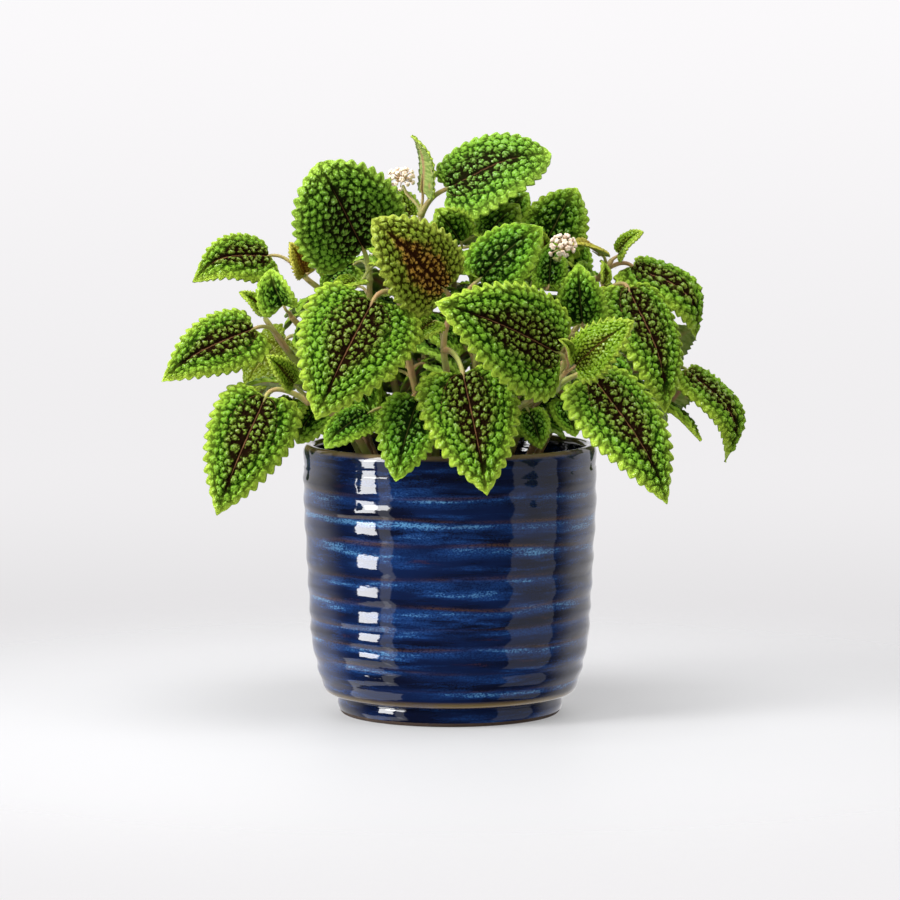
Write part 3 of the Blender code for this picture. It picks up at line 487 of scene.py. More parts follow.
def half_width(leaf, u, power):
    """Half the blade's width at u, one place or many; the power says how slim the tip is."""
    peak = OUTLINE_BASE / (OUTLINE_BASE + power)
    top = peak ** OUTLINE_BASE * (1 - peak) ** power
    return leaf.width / 2 * u ** OUTLINE_BASE * (1 - u) ** power / top


def blade_point(leaf, u, v, wide=1.0):
    """A point of the blade's middle sheet and its face: v is 0 on the midrib and 1 or -1 on an edge."""
    point, heading, face, side = midrib(leaf, u)
    width = half_width(leaf, u, OUTLINE_TIP) * wide
    lobe = BASE_LOBE * math.sqrt(u) * (1 - u) ** 3 * leaf.width * v * v
    rise = width * leaf.cup * abs(v)
    return point + side * width * v - heading * lobe + face * rise, face


def edge_places(count):
    """Places from base to tip, closer together at both ends."""
    places = []
    for k in range(count + 1):
        t = k / count
        places.append(0.55 * (1 - math.cos(math.pi * t)) / 2 + 0.45 * t)
    return places


def chain_strip(inner, outer):
    """Triangles between two chains of (place, index) that share both ends."""
    faces = []
    i = j = 0
    while i < len(inner) - 1 or j < len(outer) - 1:
        ahead = i == len(inner) - 1 or (j < len(outer) - 1 and outer[j + 1][0] <= inner[i + 1][0])
        if ahead:
            face = (inner[i][1], outer[j][1], outer[j + 1][1])
            j += 1
        else:
            face = (inner[i][1], outer[j][1], inner[i + 1][1])
            i += 1
        if len(set(face)) == 3:
            faces.append(face)
    return faces


def blade_sheet(leaf):
    """The middle sheet of a toothed blade: points with their faces, triangles, and the rim from the base."""
    spans = max(leaf.teeth // 2, 2)
    sheet = [blade_point(leaf, 0, 0), blade_point(leaf, 1, 0)]
    faces = []
    rims = []

    def chain(places, side):
        made = [(0.0, 0)]
        for k, u in enumerate(places[1:-1], start=1):
            wide = 1 + TOOTH * (k % 2 - 0.5)
            sheet.append(blade_point(leaf, u, side, wide))
            made.append((u, len(sheet) - 1))
        return made + [(1.0, 1)]

    spine = chain([k / spans for k in range(spans + 1)], 0)
    for side in (1, -1):
        edge = chain(edge_places(leaf.teeth * 2), side)
        faces += [f if side > 0 else f[::-1] for f in chain_strip(spine, edge)]
        rims.append([index for place, index in edge])
    return sheet, faces, rims[0] + rims[1][-2:0:-1]


def blade_solid(leaf, thickness):
    """Vertices and triangles of a closed blade: two like sheets, joined round the edge."""
    sheet, faces, rim = blade_sheet(leaf)
    upper = [point + face * thickness / 2 for point, face in sheet]
    lower = [point - face * thickness / 2 for point, face in sheet]
    under = len(sheet)
    faces += [tuple(index + under for index in face[::-1]) for face in faces]
    for a, b in zip(rim, rim[1:] + rim[:1]):
        faces += [(a, b, b + under), (a, b + under, a + under)]
    return upper + lower, faces


def stalk_radius(leaf):
    """The stalk's radius, from the blade's width."""
    return min(max(leaf.width * STALK_SHARE, STALK_THINNEST), STALK_THICKEST)


def stalk_path(node, leaf, count):
    """The stalk's way from the middle of the stem to the blade's base, as so many points."""
    heading = midrib(leaf, 0)[1]
    reach = (leaf.base - node).length
    out = node + (leaf.base - node) * STALK_OUT + UP * reach * STALK_LIFT
    return interpolate_bezier(node, out, leaf.base - heading * reach * STALK_BEND, leaf.base, count)


def square_tube(points, radius):
    """Vertices and faces of a plain four-sided sleeve round the points."""
    vertices = []
    faces = []
    for k, point in enumerate(points):
        heading = (points[min(k + 1, len(points) - 1)] - points[max(k - 1, 0)]).normalized()
        side = heading.orthogonal().normalized()
        other = heading.cross(side)
        vertices += [point + way * radius for way in (side, other, -side, -other)]
    for k in range(len(points) - 1):
        for corner in range(4):
            a = k * 4 + corner
            b = k * 4 + (corner + 1) % 4
            faces.append((a, b, b + 4, a + 4))
    return vertices, faces


def tree_of(*shapes):
    """One search tree over several shapes of (vertices, faces)."""
    vertices = []
    faces = []
    for points, polygons in shapes:
        start = len(vertices)
        vertices += points
        faces += [tuple(index + start for index in polygon) for polygon in polygons]
    return BVHTree.FromPolygons(vertices, faces)


def leaf_room(node, leaf):
    """The room that a blade takes up, the room of the free part of its stalk, and the corners of both."""
    blade = blade_solid(leaf._replace(width=leaf.width * WIDTH_ROOM), BLADE_ROOM)
    start = min(NODE_ROOM / (leaf.base - node).length, FREE_START)
    path = stalk_path(node, leaf, leaf.spans + 1)
    free = [along(path, share)[0] for share in (start, (start + FREE_END) / 2, FREE_END)]
    sleeve = square_tube(free, stalk_radius(leaf) + STALK_ROOM)
    return tree_of(blade), tree_of(sleeve), blade[0] + free


def meets_pot(points):
    """Whether a point lies in the lip, in the pot's wall or under the soil."""
    for point in points:
        radius = math.hypot(point.x, point.y)
        inside = radius < INNER_RADIUS - LIP_ROOM
        outside = radius > RIM_RADIUS + LIP_ROOM
        if point.z < POT_HEIGHT + LIP_ROOM and not outside and not (inside and point.z > SOIL_TOP + LIP_ROOM):
            return True
    return False


def moved(node, leaf, swing, lift, shrink):
    """The leaf turned about its node: swing is level, lift is up, and shrink draws it in."""
    away = leaf.base - node
    level = Vector((away.y, -away.x, 0))
    axis = level.normalized() if level.length > 0.1 else Vector((1, 0, 0))
    turn = Matrix.Rotation(math.radians(swing), 3, "Z") @ Matrix.Rotation(math.radians(lift), 3, axis)
    base = node + turn @ (away * (0.5 + shrink / 2))
    tip = base + turn @ ((leaf.tip - leaf.base) * shrink)
    return leaf._replace(base=base, tip=tip, look=turn @ leaf.look, width=leaf.width * shrink)


def is_clear(stem, leaf, blade, sleeve, taken):
    """Whether a leaf keeps clear of all that is placed; stalks and small blades may touch their own stem."""
    for other in taken:
        own = other.stem == stem
        if not (own and other.kind == "stem" and leaf.width < SMALL_BLADE) and blade.overlap(other.tree):
            return False
        if not (own and other.kind != "blade") and sleeve.overlap(other.tree):
            return False
    return True


def anywhere(corners):
    """Every place will do."""
    return True


def behind_front(corners):
    """Whether a leaf keeps above the lip and behind the front's leaves, which lean back as they rise."""
    for corner in corners:
        limit = FRONT_LIMIT + (corner.z - POT_HEIGHT) * FRONT_LEAN
        if corner.z < POT_HEIGHT + LIP_ROOM or corner.y < limit:
            return False
    return True


def settle(stem, node, leaf, tries, taken, fits):
    """The first of the tried poses that is clear of the pot and of all that is placed, or None."""
    for swing, lift, shrink in tries:
        trial = moved(node, leaf, swing, lift, shrink)
        blade, sleeve, corners = leaf_room(node, trial)
        if fits(corners) and not meets_pot(corners) and is_clear(stem, trial, blade, sleeve, taken):
            taken += [Taken(stem, "blade", blade), Taken(stem, "stalk", sleeve)]
            return trial
    return None


def is_low(index):
    """Whether a back stem is one of the low ones."""
    return index % 2 == 0


def stem_ways():
    """The ways of all stems, the front's as listed and the back's by rule."""
    ways = [[Vector(point) for point in way] for way in FRONT_STEMS]
    for index in range(BACK_STEMS):
        turn = math.radians(BACK_FROM + (BACK_TO - BACK_FROM) * index / (BACK_STEMS - 1))
        out = Vector((math.cos(turn), math.sin(turn) * BACK_DEPTH, 0))
        way = LOW_WAY if is_low(index) else HIGH_WAY
        ways.append([out * reach + UP * height for reach, height in way])
    return ways


def stem_path(way, steps):
    """A stem's smooth way, with its straight foot in the soil."""
    foot = way[0] - UP * STEM_DEPTH
    neck = way[0] + UP * STEM_NECK
    return [foot, *smooth_path([neck, *way[1:]], steps)]


def teeth_for(width):
    """Teeth to a side: fewer on small blades."""
    return next(teeth for least, teeth in TEETH_BY_WIDTH if width > least)


def front_leaf(row):
    """A leaf from a row of the front's table."""
    stem, place, base, tip, look, width, arch, cup = row
    leaf = Leaf(Vector(base), Vector(tip), Vector(look), width, arch, cup, teeth_for(width), 3, "green", 0.0)
    return stem - 1, place, leaf


def refined(leaf, form):
    """A leaf of the front with its tone and finer form, or None where there was no room for it."""
    if not leaf:
        return None
    tone, *finer = form
    wide, high, droop, turn = finer or SOLID_FORM
    look = Matrix.Rotation(math.radians(turn), 3, leaf.tip - leaf.base) @ leaf.look
    return leaf._replace(tone=tone, width=leaf.width * wide, arch=leaf.arch * high, droop=droop, look=look)


def rule_leaf(path, place, order, side, draw):
    """A leaf of a pair: pairs take turns across the stem, and blades grow shorter up it."""
    node, heading = along(path, place)
    level = heading.cross(UP)
    across = level.normalized() if level.length > 0.2 else Vector((1, 0, 0))
    other = heading.cross(across)
    turn = math.pi / 2 * order + draw.uniform(-PAIR_JITTER, PAIR_JITTER)
    out = (across * math.cos(turn) + other * math.sin(turn)) * side
    radial = Vector((node.x, node.y, 0)) / RIM_RADIUS
    length = (LONGEST_BLADE + (SHORTEST_BLADE - LONGEST_BLADE) * place) * draw.uniform(*LENGTH_SPREAD)
    width = length * BLADE_SHAPE * draw.uniform(*SHAPE_SPREAD)
    stalk = (LONGEST_STALK + (SHORTEST_STALK - LONGEST_STALK) * place) * draw.uniform(*STALK_SPREAD)
    base = node + (out * 0.85 + heading * 0.35 + radial * 0.3).normalized() * stalk
    chord = out * 0.8 + radial * 0.55 + UP * draw.uniform(*DROOP_SPREAD)
    look = UP * 0.6 + radial * 0.75 + out * 0.25
    tip = base + chord.normalized() * length
    tone = RULE_TONES[int(2 * order + side) % len(RULE_TONES)]
    teeth = 5 if width > 32 else 4
    leaf = Leaf(base, tip, look, width, draw.uniform(*ARCH_SPREAD), FOLD, teeth, 2, tone, RULE_DROOP)
    return node, leaf


def pair_places(stem):
    """Places of a stem's rule pairs."""
    if stem < len(FRONT_STEMS):
        return FRONT_PAIRS
    return LOW_PAIRS if is_low(stem - len(FRONT_STEMS)) else HIGH_PAIRS


def sprout(path, order, side, draw):
    """A small folded leaf of the pair at a stem's tip."""
    node, heading = along(path, 1.0)
    across = heading.orthogonal().normalized()
    other = heading.cross(across)
    turn = math.pi / 2 * order
    out = (across * math.cos(turn) + other * math.sin(turn)) * side
    length = SPROUT_LENGTH * draw.uniform(*SPROUT_SPREAD)
    base = node + (heading + out).normalized() * 3
    chord = (heading * 0.8 + out).normalized() * length
    leaf = Leaf(base, base + chord, heading - out * 0.4, length * 0.6, 0.1, SPROUT_FOLD, 2, 1, "lime", 0.0)
    return node, leaf


def rule_leaves(paths, draw):
    """The leaves set out by rule, each with its stem and node: the sprouts first, then the pairs."""
    for stem, path in enumerate(paths):
        if stem + 1 in SPROUTING_STEMS:
            for side in (1, -1):
                yield stem, *sprout(path, stem, side, draw)
    for order in range(len(LOW_PAIRS)):
        for stem, path in enumerate(paths):
            places = pair_places(stem)
            if order < len(places):
                for side in (1, -1):
                    yield stem, *rule_leaf(path, places[order], order + stem, side, draw)


def fill_leaves(paths, draw):
    """Small leaves between the solids' pairs, each with its stem and node."""
    for order, place in enumerate(FILL_PLACES):
        for stem, path in enumerate(paths):
            for side in (1, -1):
                node, leaf = rule_leaf(path, place, order + stem + 0.5, side, draw)
                leaf = moved(node, leaf, 0, 0, draw.uniform(*FILL_SIZES))
                if in_bush(leaf.base) and in_bush(leaf.tip):
                    tone = FILL_TONES[(order + stem) % len(FILL_TONES)]
                    yield stem, node, leaf._replace(spans=1, tone=tone)


def in_bush(point):
    """Whether a point seen from the front lies in the bush's thick middle."""
    across = (point.x - FILL_MIDDLE[0]) / FILL_SPACE[0]
    up = (point.z - FILL_MIDDLE[1]) / FILL_SPACE[1]
    return across ** 2 + up ** 2 < 1


def small_leaf(row):
    """A leaf from a row of the table of small leaves."""
    stem, place, base, tip, look, width, tone = row
    ways = [Vector(base), Vector(tip), Vector(look)]
    leaf = Leaf(*ways, width, SMALL_ARCH, SMALL_FOLD, teeth_for(width), 3, tone, SMALL_DROOP)
    return stem - 1, place, leaf


def grow():
    """All stems with their leaves and flowers, each set clear of the others."""
    paths = [stem_path(way, PATH_STEPS) for way in stem_ways()]
    flowers = {stem - 1: (Vector(centre), Vector(look).normalized()) for stem, centre, look in FLOWERS}
    taken = []
    for stem, path in enumerate(paths):
        taken.append(Taken(stem, "stem", tree_of(square_tube(path[1:], STEM_RADIUS + STALK_ROOM))))
    for stem, (centre, look) in flowers.items():
        ball = [centre - UP * HEAD_RADIUS, centre + UP * HEAD_RADIUS]
        taken.append(Taken(stem, "head", tree_of(square_tube(ball, HEAD_RADIUS + HEAD_ROOM))))
    leaves = [[] for path in paths]
    nudges = [(swing, lift, 1.0) for swing, lift in NUDGES]
    for row, look in zip(FRONT_LEAVES, FRONT_LOOKS):
        stem, place, leaf = front_leaf(row)
        node = along(paths[stem], place)[0]
        leaves[stem].append((node, refined(settle(stem, node, leaf, nudges, taken, anywhere), look)))
    tries = [(swing, lift, shrink) for shrink in SHRINKS for swing in SWINGS for lift in LIFTS]
    for stem, node, leaf in rule_leaves(paths, random.Random(SEED)):
        fits = behind_front if stem < len(FRONT_STEMS) else anywhere
        leaves[stem].append((node, settle(stem, node, leaf, tries, taken, fits)))
    for row in SMALL_LEAVES:
        stem, place, leaf = small_leaf(row)
        node = along(paths[stem], place)[0]
        leaves[stem].append((node, settle(stem, node, leaf, nudges, taken, anywhere)))
    for stem, node, leaf in fill_leaves(paths, random.Random(SEED + 1)):
        leaves[stem].append((node, settle(stem, node, leaf, tries, taken, behind_front)))
    return [Stem(path, [pair for pair in held if pair[1]], flowers.get(stem))
            for stem, (path, held) in enumerate(zip(paths, leaves))]


def flower_stalk(path, centre, look):
    """The flower's stalk, from the stem's tip to just under the head."""
    start, heading = along(path, 1.0)
    end = centre - look * (HEAD_CORE + HEAD_GAP)
    reach = (end - start).length
    out = start + heading * reach * STALK_BEND
    under = end - look * reach * STALK_BEND
    return interpolate_bezier(start, out, under, end, FLOWER_STALK_STEPS)


def unit_rows(rows):
    """The rows of an array, each made one long."""
    return rows / np.maximum(np.linalg.norm(rows, axis=-1, keepdims=True), 1e-9)


def ease(low, high, value):
    """0 below low, 1 above high, and a smooth rise between them."""
    share = np.clip((value - low) / (high - low), 0, 1)
    return share * share * (3 - 2 * share)


class Form:
    """A mesh in the making: points in millimetres, faces with materials, and named values on the points."""

    def __init__(self, names):
        self.names = names
        self.points = []
        self.values = []
        self.faces = []
        self.kinds = []
        self.count = 0

    def add(self, points, faces, kinds, values=None):
        """Adds points, with faces as arrays of 3 or 4 corners and the material's number for each array."""
        points = np.asarray(points, float)
        self.points.append(points)
        self.values.append(np.zeros((len(points), len(self.names))) if values is None else values)
        for corners, kind in zip(faces, kinds):
            self.faces.append(np.asarray(corners, int) + self.count)
            self.kinds.append(np.full(len(corners), kind))
        self.count += len(points)

    def build(self, name, materials):
        """The finished object, smooth all over."""
        points = np.concatenate(self.points) * MM
        sizes = np.concatenate([np.full(len(faces), faces.shape[1]) for faces in self.faces])
        corners = np.concatenate([faces.ravel() for faces in self.faces])
        mesh = bpy.data.meshes.new(name)
        mesh.vertices.add(len(points))
        mesh.vertices.foreach_set("co", points.ravel())
        mesh.loops.add(len(corners))
        mesh.loops.foreach_set("vertex_index", corners)
        mesh.polygons.add(len(sizes))
        mesh.polygons.foreach_set("loop_start", np.concatenate([[0], np.cumsum(sizes)[:-1]]))
        mesh.polygons.foreach_set("material_index", np.concatenate(self.kinds))
        mesh.polygons.foreach_set("use_smooth", np.ones(len(sizes), bool))
        values = np.concatenate(self.values)
        for column, value_name in enumerate(self.names):
            attribute = mesh.attributes.new(value_name, "FLOAT", "POINT")
            attribute.data.foreach_set("value", np.ascontiguousarray(values[:, column]))
        for material in materials:
            mesh.materials.append(material)
        mesh.update()
        mesh.validate()
        item = bpy.data.objects.new(name, mesh)
        bpy.context.scene.collection.objects.link(item)
        return item


def half_widths(leaf, u):
    """Half the fine blade's width at many places, with the tip of its tone."""
    return half_width(leaf, u, TIP_POWERS[leaf.tone])


def lobes(leaf, u, v):
    """How far the points of the blade's base reach back past the stalk."""
    return BASE_LOBE * np.sqrt(u) * (1 - u) ** 3 * leaf.width * v * v


def midrib_frames(leaf, u):
    """The midrib's points, headings, faces and sides at many places."""
    chord = np.array(leaf.tip - leaf.base)
    length = np.linalg.norm(chord)
    look = np.array(leaf.look)
    look = unit_rows(look - chord * (look @ chord) / length ** 2)
    turn = np.pi * np.maximum(u, 0.001) ** ARCH_SKEW
    height = leaf.arch * length
    points = np.array(leaf.base) + chord * u[:, None] + look * (height * np.sin(turn))[:, None]
    slope = height * np.cos(turn) * turn * ARCH_SKEW / np.maximum(u, 0.001)
    headings = unit_rows(chord + look * slope[:, None])
    faces = unit_rows(look - headings * (headings @ look)[:, None])
    return points, headings, faces, np.cross(headings, faces)


class Outline:
    """The blade's plain edge: places along the midrib, teeth counted from the base, and the way it faces."""

    def __init__(self, leaf):
        self.length = (leaf.tip - leaf.base).length
        self.u = np.linspace(0, 1, OUTLINE_STEPS) ** 2.4
        along_leaf = self.length * self.u - lobes(leaf, self.u, 1)
        across = half_widths(leaf, self.u)
        run = np.gradient(along_leaf)
        rise = np.gradient(across)
        span = np.hypot(run, rise)
        total = span.sum()
        self.teeth = max(round(total / min(TOOTH_PITCH, leaf.width * TOOTH_SHARE)), 6)
        self.phase = (np.cumsum(span) - span[0]) / total * (self.teeth + 0.5)
        self.out = np.stack([-rise / span, run / span], axis=1)
        self.power = TOOTH_POWERS.get(leaf.tone, ROUND_TOOTH)
        self.depth = TOOTH_DEPTH * (3 - self.power) / 1.3 * total / self.teeth / TOOTH_PITCH

    def phase_at(self, u):
        """The tooth reached at u, counted from the base."""
        return np.interp(u, self.u, self.phase)

    def offset_at(self, u):
        """How far the toothed edge lies from the plain one at u, along the midrib and across."""
        phase = self.phase_at(u)
        end = np.clip((phase - self.teeth) / 0.5, 0, 1)
        share = np.where(end > 0, 0.5 * end, np.mod(phase, 1) ** TOOTH_SKEW)
        scallop = 1 - np.abs(2 * share - 1) ** self.power
        grown = ease(0.0, 0.9, phase) * (0.15 + 0.85 * ease(0.6, 4.2, self.teeth + 0.5 - phase))
        out = np.stack([np.interp(u, self.u, self.out[:, k]) for k in range(2)], axis=-1)
        out = unit_rows(out * (1 - end)[..., None] + np.array([1.0, 0.0]) * end[..., None])
        offset = out * (self.depth * (scallop - 0.5) * grown)[..., None]
        offset[..., 0] += TOOTH_LEAN * scallop * grown * self.depth / TOOTH_DEPTH * (1 - end)
        return offset


def row_reach(u, v):
    """Where on the edge the row of bumps through (u, v) ends."""
    return u + ROW_SLANT * (1 - np.abs(v)) * (1 - u) ** 0.6


def row_line(leaf, outline, row):
    """Points in the flattened leaf along one row of bumps, from the midrib to the edge."""
    end = np.interp(row, outline.phase, outline.u)
    v = np.linspace(0, 1, 60)
    low = np.zeros_like(v)
    high = np.ones_like(v)
    for _ in range(24):
        u = (low + high) / 2
        short = row_reach(u, v) < end
        low = np.where(short, u, low)
        high = np.where(short, high, u)
    return np.stack([outline.length * u - lobes(leaf, u, v), half_widths(leaf, u) * v], axis=1)


def bump_pitch(leaf):
    """The distance from bump to bump: less on small blades and on the bronze one."""
    return min(max(leaf.width * 0.11, 1.6), FINE_PITCH if leaf.tone == "bronze" else BUMP_PITCH)


def bump_places(leaf, outline, draw):
    """The bumps' middles in the flattened leaf, in rows from the midrib to the teeth, with room for each."""
    pitch = bump_pitch(leaf)
    found = []
    for side in (1, -1):
        for row in np.arange(ROW_START, outline.teeth + 0.4, ROW_SHARE):
            points = row_line(leaf, outline, row)
            run = np.concatenate([[0], np.cumsum(np.hypot(*np.diff(points, axis=0).T))])
            count = max(round(run[-1] / pitch), 1)
            for step in range(count):
                share = (step + 0.5) / count
                spread = BUMP_JITTER * pitch * (1.1 - 0.5 * share)
                x, y = [np.interp(run[-1] * share, run, points[:, k]) + draw.gauss(0, spread)
                        for k in range(2)]
                room = pitch * BUMP_ROOM
                if y > pitch * 0.25 and all(math.hypot(x - a, y * side - b) > room for a, b in found):
                    found.append((x, y * side))
    return np.array(found)


def nearest_two(points, places):
    """The distances from each point to the two nearest places, and which place is the nearest."""
    near = np.empty((len(points), 2))
    which = np.empty(len(points), int)
    for start in range(0, len(points), POINTS_AT_ONCE):
        part = slice(start, start + POINTS_AT_ONCE)
        apart = np.hypot(points[part, :1] - places[:, 0], points[part, 1:] - places[:, 1])
        which[part] = apart.argmin(axis=1)
        near[part] = np.partition(apart, 1, axis=1)[:, :2]
    return near[:, 0], near[:, 1], which


def packed(points, places, power):
    """How high each point stands in its cell, 0 where two cells meet and 1 in the middle, and its cell."""
    first, second, which = nearest_two(points, places)
    return 1 - np.clip(2 * first / (first + second), 0, 1) ** power, which


def wavered(points, share, draw):
    """Places on the flattened leaf pushed to and fro, so that the creases between the bumps run unevenly."""
    pushed = points.copy()
    for length in WAVER_LENGTHS:
        for axis in (0, 1):
            phase = 2 * np.pi * (points[:, 1 - axis] / length + 0.35 * points[:, axis] / length) / share
            pushed[:, axis] += WAVER * share * np.sin(phase + draw.uniform(0, 2 * np.pi)) / len(WAVER_LENGTHS)
    return pushed


def vein_lines(leaf, u, v, across, share):
    """The midrib and two long side veins: how much of a point is vein, and how much lies in their groove."""
    lateral = np.abs(across) - (LATERAL_START + LATERAL_RISE * u) * half_widths(leaf, u)
    fade = 1 - ease(0.35, 0.62, u)
    side_line = SIDE_VEIN_SHARE * np.exp(-(lateral / SIDE_VEIN_WIDTH) ** 2) * fade
    line = np.maximum(np.exp(-(across / MIDRIB_WIDTH) ** 2), side_line)
    midline = np.exp(-(across / (0.6 * share + 0.1)) ** 2) * (1 - 0.5 * ease(0.7, 1.0, u))
    side_groove = SIDE_VEIN_SHARE * np.exp(-(lateral / (0.35 * share + 0.1)) ** 2) * fade
    groove = np.maximum(midline, side_groove)
    return line * (1 - 0.8 * ease(0.55, 0.85, u)), groove


def from_edge(leaf, outline, u, v):
    """How far the points lie from the blade's edge."""
    return np.minimum(half_widths(leaf, u) * (1 - np.abs(v)), outline.length * (1 - u) * 0.6)


def quilt(leaf, outline, u, v, flat, draw):
    """The height of the quilted face in millimetres, and the values that colour it."""
    pitch = bump_pitch(leaf)
    share = pitch / BUMP_PITCH
    bumps = bump_places(leaf, outline, draw)
    uneven = wavered(flat, share, draw)
    base, which = packed(uneven, bumps, CELL_POWER)
    base = base * np.array([draw.uniform(*BUMP_TALLNESS) for _ in bumps])[which]
    folds = packed(uneven, net_places(leaf, outline, pitch * FOLD_PITCH, draw), FOLD_POWER)[0]
    vein, groove = vein_lines(leaf, u, v, flat[:, 1], share)
    inset = from_edge(leaf, outline, u, v)
    inner = ease(0.2, 3.4 * share, inset)
    reached = outline.phase_at(row_reach(u, v)) - ROW_START
    row = np.abs(np.cos(np.pi * reached / ROW_SHARE)) ** 0.6
    rows = ease(0.45, 0.85, np.abs(v))
    relief = base * (BUMP_HEIGHT + FOLD_HEIGHT * folds) * (1 - 0.85 * groove)
    relief = relief * (1 - 0.5 * rows * (1 - row)) + ROW_DEPTH * rows * row
    pucker = base * (0.45 + 0.75 * folds) * (1 - 0.85 * groove) * (1 - 0.5 * rows * (1 - row))
    pucker = np.maximum(pucker, 0.7 * (1 - ease(0.0, 1.3, inset)))
    zone = 1 - ease(0.15, 0.85, np.abs(v) + 1.1 * np.maximum(u - 0.45, 0))
    margin = 1 - 0.55 * ease(0.9, 3.0, inset) - 0.45 * ease(1.5, 8.0 * share, inset)
    height = share * relief * (0.1 + 0.9 * inner) - 0.25 * groove
    return height, np.stack([pucker, zone, margin, vein, np.full(len(u), draw.random())], axis=1)


def net_places(leaf, outline, pitch, draw):
    """Uneven places all over the flattened leaf, about a pitch apart."""
    places = []
    for row in np.arange(0, outline.length, pitch * 0.87):
        shift = pitch / 2 * (round(row / pitch / 0.87) % 2)
        for across in np.arange(-leaf.width / 2 + shift, leaf.width / 2, pitch):
            places.append((row + draw.gauss(0, 0.17) * pitch, across + draw.gauss(0, 0.17) * pitch))
    return np.array(places)


def young_quilt(leaf, outline, u, v, flat, draw):
    """A young blade's face: a fine net of veins between low cells, with a vein to each tooth."""
    pitch = min(NET_PITCH, leaf.width * 0.09)
    cell = packed(flat, net_places(leaf, outline, pitch, draw), CELL_POWER)[0]
    vein, groove = vein_lines(leaf, u, v, flat[:, 1], 0.5)
    row = np.abs(np.cos(np.pi * outline.phase_at(row_reach(u, v)))) ** 0.5
    inset = from_edge(leaf, outline, u, v)
    inner = ease(0.1, 1.2, inset)
    pucker = np.maximum(cell * (0.4 + 0.6 * row) * (1 - 0.9 * groove), 0.6 * (1 - inner))
    height = (0.55 * pucker + 0.5 * row) * inner - 0.2 * groove
    zone = 1 - ease(0.1, 0.7, np.abs(v) + 1.2 * np.maximum(u - 0.45, 0))
    margin = 1 - ease(0.2, 3.0, inset)
    return height, np.stack([pucker, zone, margin, vein, np.full(len(u), draw.random())], axis=1)


def blade_grid(leaf):
    """How many rows and columns a blade's grid has; the columns come in whole groups."""
    step = {3: FRONT_STEP, 2: BACK_STEP}.get(leaf.spans, FILL_STEP)
    fewest = FRONT_COLUMNS if leaf.spans == 3 else BACK_COLUMNS
    step = min(step, max(leaf.width / fewest, FINEST_STEP))
    rows = max(round((leaf.tip - leaf.base).length / step * ROW_SHORTNESS), FEWEST_ROWS)
    columns = max(round(leaf.width / step / COLUMN_GROUP), 2) * COLUMN_GROUP
    return rows, columns


def blade_places(rows, columns):
    """The grid's places (u, v) from base to tip, closer together at both ends, and how many rows it has."""
    t = np.linspace(0, 1, rows + 1)[1:-1] ** ROW_CROWDING
    u = np.concatenate([t / (t + (1 - t ** (1 / ROW_CROWDING)) ** ROW_CROWDING), [1.0]])
    across = np.linspace(-1, 1, columns + 1)
    grid_u = np.repeat(u[:-1, None], columns + 1, axis=1)
    grid_v = np.repeat(across[None, :], len(u) - 1, axis=0)
    grid_u = np.concatenate([[0.0], grid_u.ravel(), [1.0]])
    grid_v = np.concatenate([[0.0], grid_v.ravel(), [0.0]])
    return grid_u, grid_v, len(u) - 1


def flattened(leaf, outline, u, v):
    """The points in the flattened leaf, along the midrib and across, with the teeth pulled out."""
    outer = ease(0.62, 1.0, np.abs(v))
    outer[-1] = 1.0
    offset = outline.offset_at(u) * outer[:, None]
    offset[:, 1] *= np.sign(v)
    along_leaf = outline.length * u - lobes(leaf, u, v) + offset[:, 0]
    return np.stack([along_leaf, half_widths(leaf, u) * v + offset[:, 1]], axis=1)


def curved_sheet(leaf, outline, u, v, flat):
    """The blade's middle sheet in space, arched, folded and a little waved, and the way it faces."""
    points, headings, faces, sides = midrib_frames(leaf, u)
    shift = flat[:, 0] - outline.length * u
    sheet = points + headings * shift[:, None] + sides * flat[:, 1:]
    spread = np.abs(v)
    wave = 0.5 * np.sin(u * 9 + np.sign(v) * 1.7 + leaf.width) * spread ** 2
    rise = half_widths(leaf, u) * (leaf.cup * spread + PILLOW * (spread - spread * spread)) + wave
    rise -= leaf.droop * outline.length * ease(0.6, 1.05, u)
    fall = RIM_DROP * ease(0.82, 1.0, np.maximum(spread, u))
    return sheet + faces * (rise - fall)[:, None], faces


def fine_blade(form, leaf, tone, draw):
    """Adds a quilted blade with its underside: both share the edge's points, so that it is closed."""
    rows, columns = blade_grid(leaf)
    u, v, rows = blade_places(rows, columns)
    outline = Outline(leaf)
    flat = flattened(leaf, outline, u, v)
    sheet, faces = curved_sheet(leaf, outline, u, v, flat)
    face = young_quilt if leaf.tone in YOUNG_TONES else quilt
    height, values = face(leaf, outline, u, v, flat, draw)
    edge = np.abs(v) > 0.999
    edge[0] = edge[-1] = True
    lift = np.where(edge, 0, BLADE / 2 + height)
    drop = np.where(edge, 0, BLADE / 2 - UNDER_SHARE * height)
    inner = np.flatnonzero(~edge)
    under = np.arange(len(sheet))
    under[inner] = len(sheet) + np.arange(len(inner))
    vertices = np.concatenate([sheet + faces * lift[:, None], (sheet - faces * drop[:, None])[inner]])
    values = np.concatenate([values, values[inner]])
    top, top_fans = grid_faces(rows, columns, 1)
    low, low_fans = grid_faces(rows, columns, UNDER_STEP)
    form.add(vertices, [top, top_fans, under[low][:, ::-1], under[low_fans][:, ::-1]],
             [tone, tone, UNDERSIDE, UNDERSIDE], values)


